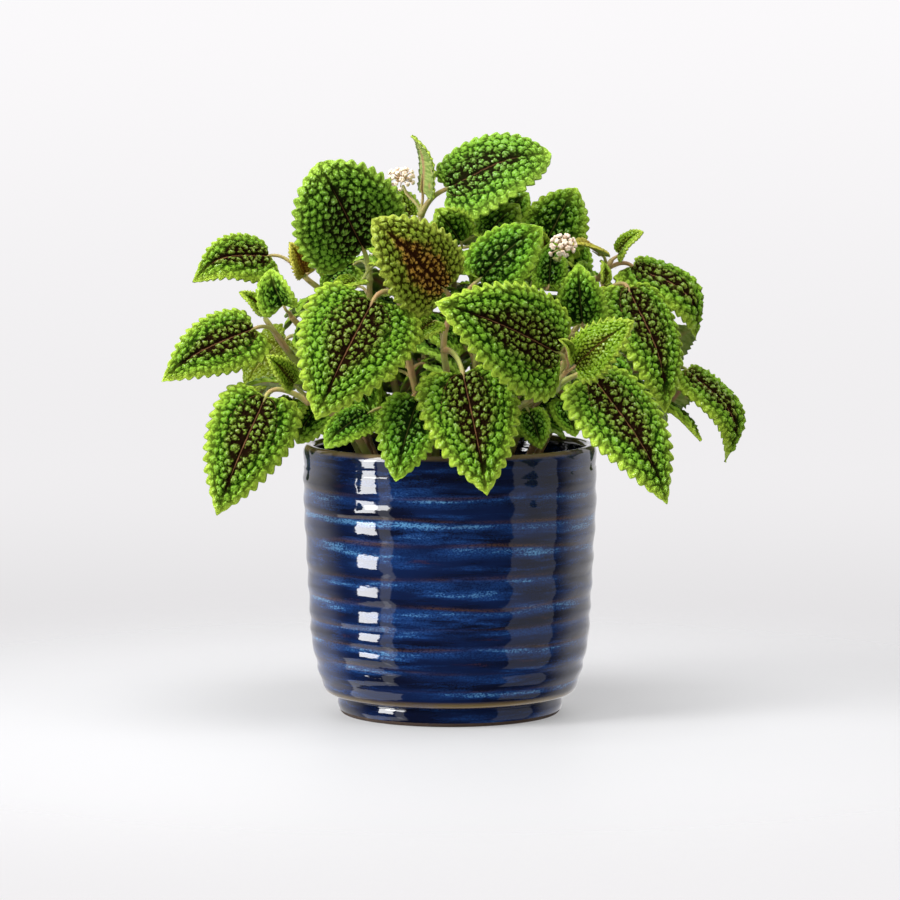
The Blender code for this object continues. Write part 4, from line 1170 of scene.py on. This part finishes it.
def grid_faces(rows, columns, step):
    """Quads of a grid between a first and a last point, with every step-th column, and its end triangles."""
    count = columns + 1
    first = np.arange(0, columns, step)
    starts = 1 + np.arange(rows - 1)[:, None] * count + first[None, :]
    starts = starts.ravel()
    quads = np.stack([starts, starts + count, starts + count + step, starts + step], axis=1)
    last = 1 + rows * count
    ends = 1 + (rows - 1) * count + first
    base_fan = np.stack([np.zeros_like(first), 1 + first, 1 + first + step], axis=1)
    tip_fan = np.stack([np.full_like(first, last), ends + step, ends], axis=1)
    return quads, np.concatenate([base_fan, tip_fan])


def ring_faces(sides, rings):
    """Quads from ring to ring of points, and fans from the first and last ring to the two end points."""
    ring = np.arange(sides)
    after = (ring + 1) % sides
    band = np.stack([ring, after, after + sides, ring + sides], axis=1)
    quads = [band + k * sides for k in range(rings - 1)]
    last = (rings - 1) * sides
    start = np.stack([after, ring, np.full(sides, rings * sides)], axis=1)
    end = np.stack([ring + last, after + last, np.full(sides, rings * sides + 1)], axis=1)
    return quads, start, end


def tube(form, points, radii, sides, kind, value):
    """Adds a round tube with closed ends through the points."""
    points = np.array([tuple(point) for point in points])
    radii = np.asarray(radii, float)
    ways = unit_rows(np.gradient(points, axis=0))
    side = unit_rows(np.cross(ways[0], (0.31, 0.87, 0.38)))
    rings = []
    for point, way, radius in zip(points, ways, radii):
        side = unit_rows(side - way * (side @ way))
        other = np.cross(way, side)
        turn = np.linspace(0, 2 * np.pi, sides, endpoint=False)[:, None]
        rings.append(point + radius * (np.cos(turn) * side + np.sin(turn) * other))
    start_cap = points[:1] - ways[:1] * radii[0] * 0.6
    end_cap = points[-1:] + ways[-1:] * radii[-1] * 0.6
    vertices = np.concatenate([*rings, start_cap, end_cap])
    quads, start, end = ring_faces(sides, len(points))
    values = np.zeros((len(vertices), len(form.names)))
    values[:, 0] = value
    form.add(vertices, [np.concatenate(quads), start, end], [kind] * 3, values)


def hairs(form, points, radii, density, draw):
    """Adds short pale hairs that stand out round a tube, each a slim three-sided spike."""
    points = [Vector(point) for point in points]
    for (a, b), (ra, rb) in zip(zip(points, points[1:]), zip(radii, radii[1:])):
        way = (b - a).normalized()
        side = way.orthogonal().normalized()
        other = way.cross(side)
        for _ in range(int((b - a).length * density + draw.random())):
            share = draw.random()
            turn = draw.uniform(0, 2 * math.pi)
            out = side * math.cos(turn) + other * math.sin(turn)
            root = a.lerp(b, share) + out * (ra + (rb - ra) * share) * 0.9
            tip = root + (out + way * draw.uniform(*HAIR_LEANS)) * draw.uniform(*HAIR_LENGTHS)
            spread = out.cross(way) * HAIR_RADIUS
            lean = way * HAIR_RADIUS
            corners = [root + spread, root - spread * 0.5 + lean, root - spread * 0.5 - lean, tip]
            form.add([tuple(corner) for corner in corners], [[(0, 1, 3), (1, 2, 3), (2, 0, 3)]], [HAIR])


def fine_stalk(form, node, leaf, draw):
    """Adds a leaf's stalk: it swells at the stem, and runs on under the blade as the midrib's keel."""
    path = stalk_path(node, leaf, STALK_STEPS)
    thick = stalk_radius(leaf)
    steps = range(STALK_STEPS)
    radii = [thick * (1.15 - 0.3 * k / (STALK_STEPS - 1) + 0.5 * math.exp(-k / 1.2)) for k in steps]
    for k, u in enumerate(KEEL_PLACES):
        point, _, face, _ = midrib(leaf, u)
        path.append(point - face * BLADE * 0.9)
        radii.append(thick * (0.7 - 0.15 * k))
    tube(form, path, radii, STALK_SIDES, STALK, 1.0)
    hairs(form, path[:STALK_STEPS], radii[:STALK_STEPS], STALK_HAIRS, draw)


def fine_stem(stem, way, draw):
    """All of one stem in one form: the stem, its stalks, its blades and their hairs."""
    form = Form(("pucker", "zone", "margin", "vein", "shade"))
    path = stem_path(way, FINE_STEPS)
    count = len(path)
    radii = [STEM_RADIUS + (STEM_TIP_RADIUS - STEM_RADIUS) * k / (count - 1) for k in range(count)]
    tube(form, path, radii, STEM_SIDES, STALK, 0.4)
    hairs(form, path[1:], radii[1:], STEM_HAIRS, draw)
    for node, leaf in stem.leaves:
        fine_stalk(form, node, leaf, draw)
        fine_blade(form, leaf, TONES.index(leaf.tone), draw)
    if stem.flower:
        path = flower_stalk(stem.path, *stem.flower)
        radii = [FLOWER_STALK_RADIUS] * len(path)
        tube(form, path, radii, STALK_SIDES, STALK, 0.7)
        hairs(form, path, radii, STALK_HAIRS, draw)
    return form


def fine_head(centre, look, draw):
    """A flower head: a small core, and short-stalked cream florets that stand out of it at uneven lengths."""
    form = Form(("pucker",))
    turn = look.to_track_quat("Z", "Y")
    pebble(form, centre, HEAD_CORE * 0.75, 1, draw)
    for k in range(FINE_FLORETS):
        height = 1 - FINE_SPAN * (k + 0.5) / FINE_FLORETS
        angle = k * math.pi * (3 - math.sqrt(5)) + draw.uniform(-0.25, 0.25)
        ring = math.sqrt(max(1 - height * height, 0))
        out = turn @ Vector((ring * math.cos(angle), ring * math.sin(angle), height))
        tip = centre + out * HEAD_RADIUS * draw.uniform(*FLORET_REACH)
        path = [centre + out * HEAD_CORE * 0.4, centre.lerp(tip, 0.6), tip]
        tube(form, path, FLORET_STALK_RADII, FLORET_SIDES, 1, 0.3)
        floret(form, tip, out, draw)
    return form


def floret(form, tip, out, draw):
    """One floret: plump petals round its middle, more or less open."""
    side = out.orthogonal().normalized()
    opened = draw.uniform(*PETAL_OPENING)
    start = draw.uniform(0, 2 * math.pi)
    for petal in range(PETALS):
        around = Matrix.Rotation(start + 2 * math.pi * petal / PETALS, 3, out) @ side
        knee = tip + around * 0.7 * opened + out * 0.5
        end = tip + around * 1.4 * opened + out * (1.35 - 0.8 * opened)
        tube(form, [tip - out * 0.2, knee, end], PETAL_RADII, FLORET_SIDES, 0, draw.uniform(0.3, 1.0))


def body_radius(height):
    """The pot's outer radius without its ribs."""
    radius = RIM_RADIUS - max(SHOULDER_TOP - height, 0) * TAPER
    if height < CORNER_TOP:
        share = (CORNER_TOP - height) / (CORNER_TOP - CORNER_BOTTOM)
        radius -= CORNER_DEPTH * share ** CORNER_POWER
    return radius


def rib_turn(height, angle):
    """How far a height is from a rib's crest, at 0, to the next, at 1; ribs waver a little round the pot."""
    round_pot = Vector((math.cos(angle) * 1.3, math.sin(angle) * 1.3, height * 0.05))
    level = height + RIB_WAVER * noise.noise(round_pot)
    crests = (LIP_CREST,) + RIB_CRESTS + (CORNER_BOTTOM - 3,)
    for above, below in zip(crests, crests[1:]):
        if level >= below:
            return max(above - level, 0) / (above - below)
    return 0.0


def pot_profile():
    """The pot's profile as (radius, height, share of the ribs), from the inside's floor to the foot."""
    profile = [(r, z, 0.0) for r, z in POT_INSIDE + POT_LIP]
    top = POT_LIP[-1][1]
    steps = round((top - CORNER_BOTTOM) / RIB_STEP)
    for k in range(1, steps + 1):
        height = top + (CORNER_BOTTOM - top) * k / steps
        share = min(k * RIB_STEP / 6, 1) * min((height - CORNER_BOTTOM) / 4, 1)
        profile.append((body_radius(height), height, max(share, 0)))
    profile += [(r, z, 0.0) for r, z in POT_LOWER_EDGE + POT_FOOT]
    return profile


def pot_ring(radius, height, share, turns):
    """One ring of the pot's points, and the values that colour it."""
    place = np.array([rib_turn(height, turn) if share else 0.0 for turn in turns])
    spots = [Vector((math.cos(turn) * 2, math.sin(turn) * 2, height * 0.11)) for turn in turns]
    swell = np.array([noise.noise(spot) for spot in spots])
    out = radius + share * RIB_SHARE * RIB_HALF_DEPTH * np.cos(2 * np.pi * place) * (1 + RIB_SWELL * swell)
    points = np.stack([out * np.cos(turns), out * np.sin(turns), np.full(len(turns), height)], axis=1)
    pool = share * ease(0.27, 0.4, place) * (1 - ease(0.5, 0.85, place))
    split = share * np.exp(-((place - 0.28) / 0.055) ** 2)
    lip = np.full(len(turns), float(height > POT_HEIGHT - LIP_BAND))
    edge = np.full(len(turns), float(POT_LOWER_EDGE[2][1] < height < CORNER_BOTTOM - 0.5))
    return points, np.stack([pool, split, lip, edge], axis=1)


def fine_pot():
    """The glazed pot, turned with wavering throwing ribs."""
    form = Form(("pool", "break", "lip", "edge"))
    turns = 2 * np.pi * np.arange(POT_STEPS) / POT_STEPS
    profile = pot_profile()
    rings, values = zip(*(pot_ring(*step, turns) for step in profile))
    quads, floor, under = ring_faces(POT_STEPS, len(profile))
    vertices = np.concatenate([*rings, [[0, 0, profile[0][1]], [0, 0, profile[-1][1]]]])
    bare = [max(a[1], b[1]) < UNGLAZED_TOP for a, b in zip(profile, profile[1:])]
    kinds = [int(clay) for clay in bare] + [0, 1]
    form.add(vertices, quads + [floor, under], kinds, np.concatenate([*values, np.zeros((2, 4))]))
    return form


def pebble(form, centre, size, kind, draw):
    """Adds one rough crumb."""
    x, y, z = centre
    squash = draw.uniform(*CRUMB_SQUASH)
    points = []
    for k in range(1, CRUMB_RINGS + 1):
        tilt = math.pi * k / (CRUMB_RINGS + 1)
        for j in range(CRUMB_SIDES):
            angle = 2 * math.pi * (j + 0.5 * (k % 2)) / CRUMB_SIDES
            reach = size * draw.uniform(*CRUMB_ROUGHNESS)
            out = reach * math.sin(tilt)
            up = reach * math.cos(tilt) * squash
            points.append((x + out * math.cos(angle), y + out * math.sin(angle), z + up))
    points += [(x, y, z + size * squash), (x, y, z - size * squash)]
    ring = np.arange(CRUMB_SIDES)
    after = (ring + 1) % CRUMB_SIDES
    band = np.stack([ring, ring + CRUMB_SIDES, after + CRUMB_SIDES, after], axis=1)
    quads = np.concatenate([band + k * CRUMB_SIDES for k in range(CRUMB_RINGS - 1)])
    last = (CRUMB_RINGS - 1) * CRUMB_SIDES
    top = np.stack([ring, after, np.full(CRUMB_SIDES, last + CRUMB_SIDES)], axis=1)
    low = np.stack([after + last, ring + last, np.full(CRUMB_SIDES, last + CRUMB_SIDES + 1)], axis=1)
    form.add(points, [quads, np.concatenate([top, low])], [kind] * 2)


def soil_crumbs(draw):
    """Crumbs of bark, peat and pale perlite, bedded in the soil's face."""
    form = Form(("pucker",))
    for k in range(CRUMBS):
        reach = CRUMB_REACH * math.sqrt(draw.random())
        turn = draw.uniform(0, 2 * math.pi)
        size = draw.uniform(*CRUMB_SIZES)
        kind = 1 if draw.random() < PERLITE_SHARE else 0
        centre = (reach * math.cos(turn), reach * math.sin(turn), SOIL_TOP + size * 0.2)
        pebble(form, centre, size, kind, draw)
    return form


class Tree:
    """A node tree whose nodes are added one by one."""

    def __init__(self, tree):
        self.nodes = tree.nodes
        self.links = tree.links

    def add(self, kind, *values, **settings):
        """Adds a node with its settings, and gives its first sockets their values."""
        node = self.nodes.new("ShaderNode" + kind)
        for name, setting in settings.items():
            setattr(node, name, setting)
        for socket, value in zip(node.inputs, values):
            self.put(socket, value)
        return node

    def put(self, socket, value):
        """Sets a socket to a number or colour, or links it to an output."""
        if isinstance(value, bpy.types.NodeSocket):
            self.links.new(value, socket)
        elif isinstance(value, tuple):
            socket.default_value = (*value, 1.0) if len(value) == 3 and socket.type == "RGBA" else value
        else:
            socket.default_value = value

    def math(self, operation, *values):
        """A sum done on sockets or numbers."""
        return self.add("Math", *values, operation=operation).outputs[0]

    def times(self, first, second):
        """The product of two sockets or numbers."""
        return self.math("MULTIPLY", first, second)

    def ramp(self, value, low, high, start=0.0, end=1.0):
        """A smooth rise of a value from start at low to end at high."""
        return self.add("MapRange", value, low, high, start, end, interpolation_type="SMOOTHSTEP").outputs[0]


class Shader(Tree):
    """A Principled material."""

    def __init__(self, name):
        self.material = bpy.data.materials.new(name)
        self.material.use_nodes = True
        super().__init__(self.material.node_tree)
        self.face = self.nodes["Principled BSDF"]
        self.place = self.add("TexCoord").outputs["Object"]

    def set(self, **values):
        """Sets the surface's own sockets by name, with _ for a space."""
        for name, value in values.items():
            self.put(self.face.inputs[name.replace("_", " ")], value)

    def value(self, name):
        """A named value of the mesh."""
        return self.add("Attribute", attribute_name=name).outputs["Fac"]

    def mix(self, share, first, second, blend="MIX"):
        """Two colours mixed."""
        node = self.add("Mix", share, data_type="RGBA", blend_type=blend)
        self.put(node.inputs[6], first)
        self.put(node.inputs[7], second)
        return node.outputs[2]

    def noise(self, scale, detail=2.0, stretch=(1, 1, 1), rough=0.5):
        """Fractal noise, its scale given per metre and stretched along the axes."""
        mapping = self.add("Mapping", self.place)
        mapping.inputs["Scale"].default_value = [scale * s for s in stretch]
        node = self.add("TexNoise", mapping.outputs[0])
        node.inputs["Scale"].default_value = 1.0
        node.inputs["Detail"].default_value = detail
        node.inputs["Roughness"].default_value = rough
        return node.outputs["Fac"]

    def cells(self, scale):
        """Distances in a pattern of cells, its scale given per metre."""
        node = self.add("TexVoronoi", self.place)
        node.inputs["Scale"].default_value = scale
        return node.outputs["Distance"]

    def bump(self, height, strength, distance):
        """Bends the surface's light by a height, in metres at full height."""
        node = self.add("Bump")
        node.inputs["Strength"].default_value = strength
        node.inputs["Distance"].default_value = distance
        self.put(node.inputs["Height"], height)
        self.put(self.face.inputs["Normal"], node.outputs[0])


def tint(red, green, blue):
    """A colour seen on screen, from 0 to 255, as the light that gives it."""
    levels = (red, green, blue)
    return tuple(((c / 255 + 0.055) / 1.055) ** 2.4 if c > 10 else c / 255 / 12.92 for c in levels)


def leaf_relief(shader, pucker):
    """The fine folds of a blade's face, and how far bumps and folds raise it together."""
    fold = shader.ramp(shader.cells(FOLD_SCALE), 0.1, 0.62, 1.0, 0.0)
    fold = shader.times(fold, 0.6)
    fold = shader.math("ADD", fold, shader.times(shader.noise(1100, 2), 0.4))
    return fold, shader.math("ADD", pucker, shader.times(shader.math("SUBTRACT", fold, 0.5), 0.35))


def leaf_middle(shader):
    """How much of a place belongs to the blade's dark middle, which ends unevenly."""
    mottle = shader.noise(230, 3)
    zone = shader.value("zone")
    zone = shader.math("ADD", zone, shader.times(shader.math("SUBTRACT", mottle, 0.5), 1.1))
    return shader.ramp(zone, 0.15, 0.95)


def leaf_material(tone):
    """A quilted blade's upper face: green bumps on a dark ground, brighter outside, with a pale edge.

    The dark ground is painted shade in the creases, and in the middle partly the blade's own brown. The pale
    edge is partly painted glow, and the highest bumps carry painted glints.
    """
    inner_crease_shade_and_brown, inner_bump, outer_crease_shade, outer_bump, edge, vein = [tint(*c) for c in LEAF_COLOURS[tone]]
    brown_bump = tuple((a + b) * 0.6 for a, b in zip(inner_crease_shade_and_brown, tint(*BROWN)))
    shader = Shader("leaf_" + tone)
    pucker = shader.value("pucker")
    margin = shader.value("margin")
    shade = shader.value("shade")
    middle = leaf_middle(shader)
    fold, raised = leaf_relief(shader, pucker)
    brown = shader.times(shader.ramp(shader.noise(420, 2), 0.42, 0.62), 0.3)
    inner_face = shader.mix(brown, inner_bump, brown_bump)
    # Painted shade: low places between the bumps take the dark ground colour, in the middle partly the
    # blade's own brown
    inner = shader.mix(shader.ramp(raised, 0.22, 0.72), inner_crease_shade_and_brown, inner_face)
    outer = shader.mix(shader.ramp(raised, 0.04, 0.5), outer_crease_shade, outer_bump)
    colour = shader.mix(middle, outer, inner)
    # The pale edge: the margin's own lime, and partly a painted glow of light through the thin rim, strongest
    # at the very edge
    pale = shader.times(margin, shader.ramp(raised, 0.1, 0.6, 0.5, 1.0))
    colour = shader.mix(pale, colour, edge)
    colour = shader.mix(shader.ramp(shader.value("vein"), 0.35, 0.8, 0.0, 0.8), colour, vein)
    # Painted glint: the highest bumps turn pale green, as if they caught the light
    colour = shader.mix(shader.ramp(raised, 0.85, 1.15, 0.0, 0.5), colour, tint(*PAINTED_GLINT))
    warm = shader.mix(shader.noise(90, 2), *WARMTHS)
    colour = shader.mix(0.8, colour, warm, "MULTIPLY")
    colour = shader.mix(shader.times(shade, 0.3), colour, SHADE, "MULTIPLY")
    shine = shader.ramp(raised, 0.4, 1.0, 0.0, 0.7)
    shader.set(Base_Color=colour, Roughness=0.2, Specular_IOR_Level=shine)
    shader.bump(fold, 0.7, 0.0007)
    return shader.material


def underside_material():
    """A blade's pale, matt underside, with reddish veins."""
    shader = Shader("leaf_underside")
    pucker = shader.ramp(shader.value("pucker"), 0.1, 0.9)
    ground = shader.mix(pucker, tint(160, 178, 92), tint(112, 140, 52))
    colour = shader.mix(shader.value("vein"), ground, tint(170, 110, 92))
    colour = shader.mix(shader.ramp(shader.noise(300, 3), 0.3, 0.8, 0.0, 0.3), colour, tint(86, 104, 44))
    shader.set(Base_Color=colour, Roughness=0.62, Specular_IOR_Level=0.35)
    shader.bump(shader.noise(1500, 2), 0.4, 0.0004)
    return shader.material


def stalk_material():
    """Stems and stalks: pale green, flushed with pink and brown."""
    shader = Shader("stem_skin")
    flush = shader.ramp(shader.noise(70, 3), 0.35, 0.7)
    colour = shader.mix(flush, tint(150, 160, 76), tint(176, 136, 94))
    streak = shader.ramp(shader.noise(500, 2, (1, 1, 0.15)), 0.4, 0.8, 0.0, 0.4)
    colour = shader.mix(streak, colour, tint(116, 92, 56))
    shader.set(Base_Color=colour, Roughness=0.5, Specular_IOR_Level=0.4)
    shader.bump(shader.noise(900, 2, (1, 1, 0.2)), 0.4, 0.0004)
    return shader.material


def mottled(name, scale, detail, span, colours, roughness):
    """A plain material that noise mottles from one colour to another, over all or a span of the noise."""
    shader = Shader(name)
    share = shader.noise(scale, detail)
    if span:
        share = shader.ramp(share, *span)
    shader.set(Base_Color=shader.mix(share, *(tint(*colour) for colour in colours)), Roughness=roughness)
    return shader


def glaze_material():
    """Deep blue glaze: pale and mottled where it pools between the ribs, brown where it breaks on them."""
    shader = Shader("blue_glaze_fine")
    streak = shader.noise(40, 5, (0.5, 0.5, 5.0), rough=0.6)
    fleck = shader.noise(1500, 3, (0.6, 0.6, 1.0), rough=0.7)
    cloud = shader.noise(24, 3, (0.6, 0.6, 2.4))
    pool = shader.times(shader.value("pool"), shader.ramp(cloud, 0.36, 0.6, 0.15, 1.0))
    pale = shader.math("ADD", shader.times(pool, 0.5), shader.ramp(streak, 0.44, 0.72, 0.0, 0.62))
    pale = shader.times(pale, shader.ramp(fleck, 0.3, 0.65, 0.4, 1.2))
    depth = shader.ramp(shader.noise(50, 4, (0.4, 0.4, 2.5)), 0.35, 0.65)
    deep = shader.mix(depth, tint(8, 12, 32), tint(12, 27, 62))
    colour = shader.mix(shader.ramp(pale, 0.0, 0.6), deep, tint(23, 54, 106))
    colour = shader.mix(shader.ramp(pale, 0.45, 1.0), colour, tint(82, 134, 176))
    brown = shader.times(shader.value("break"), shader.ramp(cloud, 0.42, 0.62, 0.1, 0.8))
    brown = shader.times(brown, shader.ramp(fleck, 0.3, 0.6))
    colour = shader.mix(brown, colour, tint(80, 56, 36))
    rust = shader.ramp(shader.noise(75, 4, (0.35, 0.35, 3.0), rough=0.7), 0.62, 0.74, 0.0, 0.6)
    rust = shader.times(rust, shader.ramp(fleck, 0.35, 0.6))
    colour = shader.mix(rust, colour, tint(58, 34, 34))
    gold = shader.math("MAXIMUM", shader.value("lip"), shader.value("edge"))
    gold = shader.times(gold, shader.ramp(cloud, 0.25, 0.55, 0.2, 0.85))
    colour = shader.mix(gold, colour, tint(124, 104, 62))
    shader.set(Base_Color=colour, Roughness=0.05, Specular_IOR_Level=0.5)
    shader.bump(shader.noise(110, 3, (0.5, 0.5, 1.6)), 0.14, 0.0016)
    return shader.material


def clay_material():
    """Bare brown clay under the foot ring."""
    shader = mottled("bare_clay", 500, 4, None, CLAY_COLOURS, 0.85)
    shader.bump(shader.noise(1400, 3), 0.5, 0.0004)
    return shader.material


def soil_material(name, scale, colours):
    """Damp potting soil or one of its crumbs."""
    shader = mottled(name, scale, 4, (0.3, 0.7), colours, 0.92)
    shader.set(Specular_IOR_Level=0.2)
    shader.bump(shader.math("ADD", shader.noise(scale, 5), shader.cells(scale * 0.7)), 0.9, 0.0015)
    return shader.material


def floor_material():
    """The plain pale floor, which fades out far from the pot."""
    shader = Shader("pale_floor")
    shader.set(Base_Color=tint(*FLOOR_COLOUR), Roughness=0.55, Specular_IOR_Level=0.25)
    shader.set(Emission_Color=(1.0, 1.0, 1.0), Emission_Strength=FLOOR_GLOW)
    length = shader.add("VectorMath", shader.place, operation="LENGTH")
    shader.set(Alpha=shader.ramp(length.outputs["Value"], *FLOOR_FADE, 1.0, 0.0))
    return shader.material


def build_floor():
    """A wide pale floor under the foot."""
    bpy.ops.mesh.primitive_circle_add(vertices=FLOOR_SIDES, radius=FLOOR_FADE[1] * 1.1, fill_type="NGON")
    floor = bpy.context.object
    floor.name = "floor"
    floor.data.materials.append(floor_material())
    floor.visible_glossy = False


def area_light(name, power, size, place, seen):
    """A soft light that faces the pot, size as (width, height) in metres; seen says which rays meet it."""
    data = bpy.data.lights.new(name, "AREA")
    data.shape = "RECTANGLE"
    data.size, data.size_y = size
    data.energy = power
    lamp = bpy.data.objects.new(name, data)
    lamp.location = place
    lamp.rotation_euler = (Vector(LIGHT_TARGET) - Vector(place)).to_track_quat("-Z", "Y").to_euler()
    lamp.visible_diffuse = seen != "glossy"
    lamp.visible_glossy = seen != "diffuse"
    bpy.context.scene.collection.objects.link(lamp)


def build_world():
    """A pale studio, graded from top to bottom, that lights the pot mostly from behind."""
    world = bpy.data.worlds.new("studio")
    bpy.context.scene.world = world
    world.use_nodes = True
    tree = Tree(world.node_tree)
    split = tree.add("SeparateXYZ", tree.add("TexCoord").outputs["Generated"])
    depth = tree.ramp(split.outputs["Y"], *WORLD_SPAN, *WORLD_LIGHT)
    level = tree.add("MapRange", split.outputs["Z"], *BACKDROP_SPAN, 0.0, 1.0)
    grade = tree.add("ValToRGB", level.outputs[0])
    grade.color_ramp.interpolation = "EASE"
    for number, (spot, light) in enumerate(BACKDROP_GRADE):
        stop = grade.color_ramp.elements[number] if number < 2 else grade.color_ramp.elements.new(spot)
        stop.position = spot
        stop.color = (light, light * BACKDROP_WARMTH, light, 1.0)
    seen = tree.add("LightPath").outputs["Is Camera Ray"]
    back = tree.nodes["Background"]
    tree.put(back.inputs["Color"], grade.outputs[0])
    tree.put(back.inputs["Strength"], tree.math("MAXIMUM", depth, seen))


def build_lights():
    """Soft boxes to the left, overhead and to the right, and the pale cards that the glaze mirrors."""
    for light in LIGHTS:
        area_light(*light)


def build_camera():
    """The camera at the photograph's angle."""
    data = bpy.data.cameras.new("camera")
    data.lens = CAMERA_LENS
    data.sensor_width = CAMERA_SENSOR
    camera = bpy.data.objects.new("camera", data)
    camera.location = CAMERA_PLACE
    camera.rotation_euler = (math.radians(90 - CAMERA_PITCH), 0, 0)
    bpy.context.scene.collection.objects.link(camera)
    bpy.context.scene.camera = camera


def dress(piece, node):
    """Makes a piece stand for a node of the solids."""
    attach(piece, "root")
    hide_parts(node)


def main():
    """Builds the studio and all pieces."""
    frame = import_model()
    bpy.context.scene.view_settings.view_transform = "Standard"
    build_camera()
    build_world()
    build_lights()
    build_floor()

    draw = random.Random(SEED)
    stem_materials = [leaf_material(tone) for tone in TONES]
    stem_materials += [underside_material(), stalk_material()]
    stem_materials.append(mottled("leaf_hairs", 200, 2.0, None, HAIR_COLOURS, 0.5).material)
    petals = mottled("floret_petals", 700, 2, (0.4, 0.7), PETAL_COLOURS, 0.55)
    floret_stalks = mottled("floret_stalks", 500, 2.0, None, FLORET_STALK_COLOURS, 0.6)
    head_materials = [petals.material, floret_stalks.material]
    heads = 0
    for number, (stem, way) in enumerate(zip(grow(), stem_ways()), start=1):
        node = f"leafy_stem_{number:02d}"
        dress(fine_stem(stem, way, draw).build(node + "_fine", stem_materials), node)
        if stem.flower:
            heads += 1
            head = fine_head(*stem.flower, draw).build(f"flower_head_{heads}_fine", head_materials)
            dress(head, f"flower_head_{heads}")

    pot = fine_pot().build("pot_fine", [glaze_material(), clay_material()])
    dress(pot, "pot")
    soil = soil_material("soil_face", 300, SOIL_COLOURS)
    frame["nodes"]["potting_soil"].data.materials.clear()
    frame["nodes"]["potting_soil"].data.materials.append(soil)
    perlite = soil_material("perlite", 500, PERLITE_COLOURS)
    crumb = soil_material("soil_crumb", 400, CRUMB_COLOURS)
    crumbs = soil_crumbs(draw).build("soil_crumbs", [crumb, perlite])
    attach(crumbs, "root")


main()
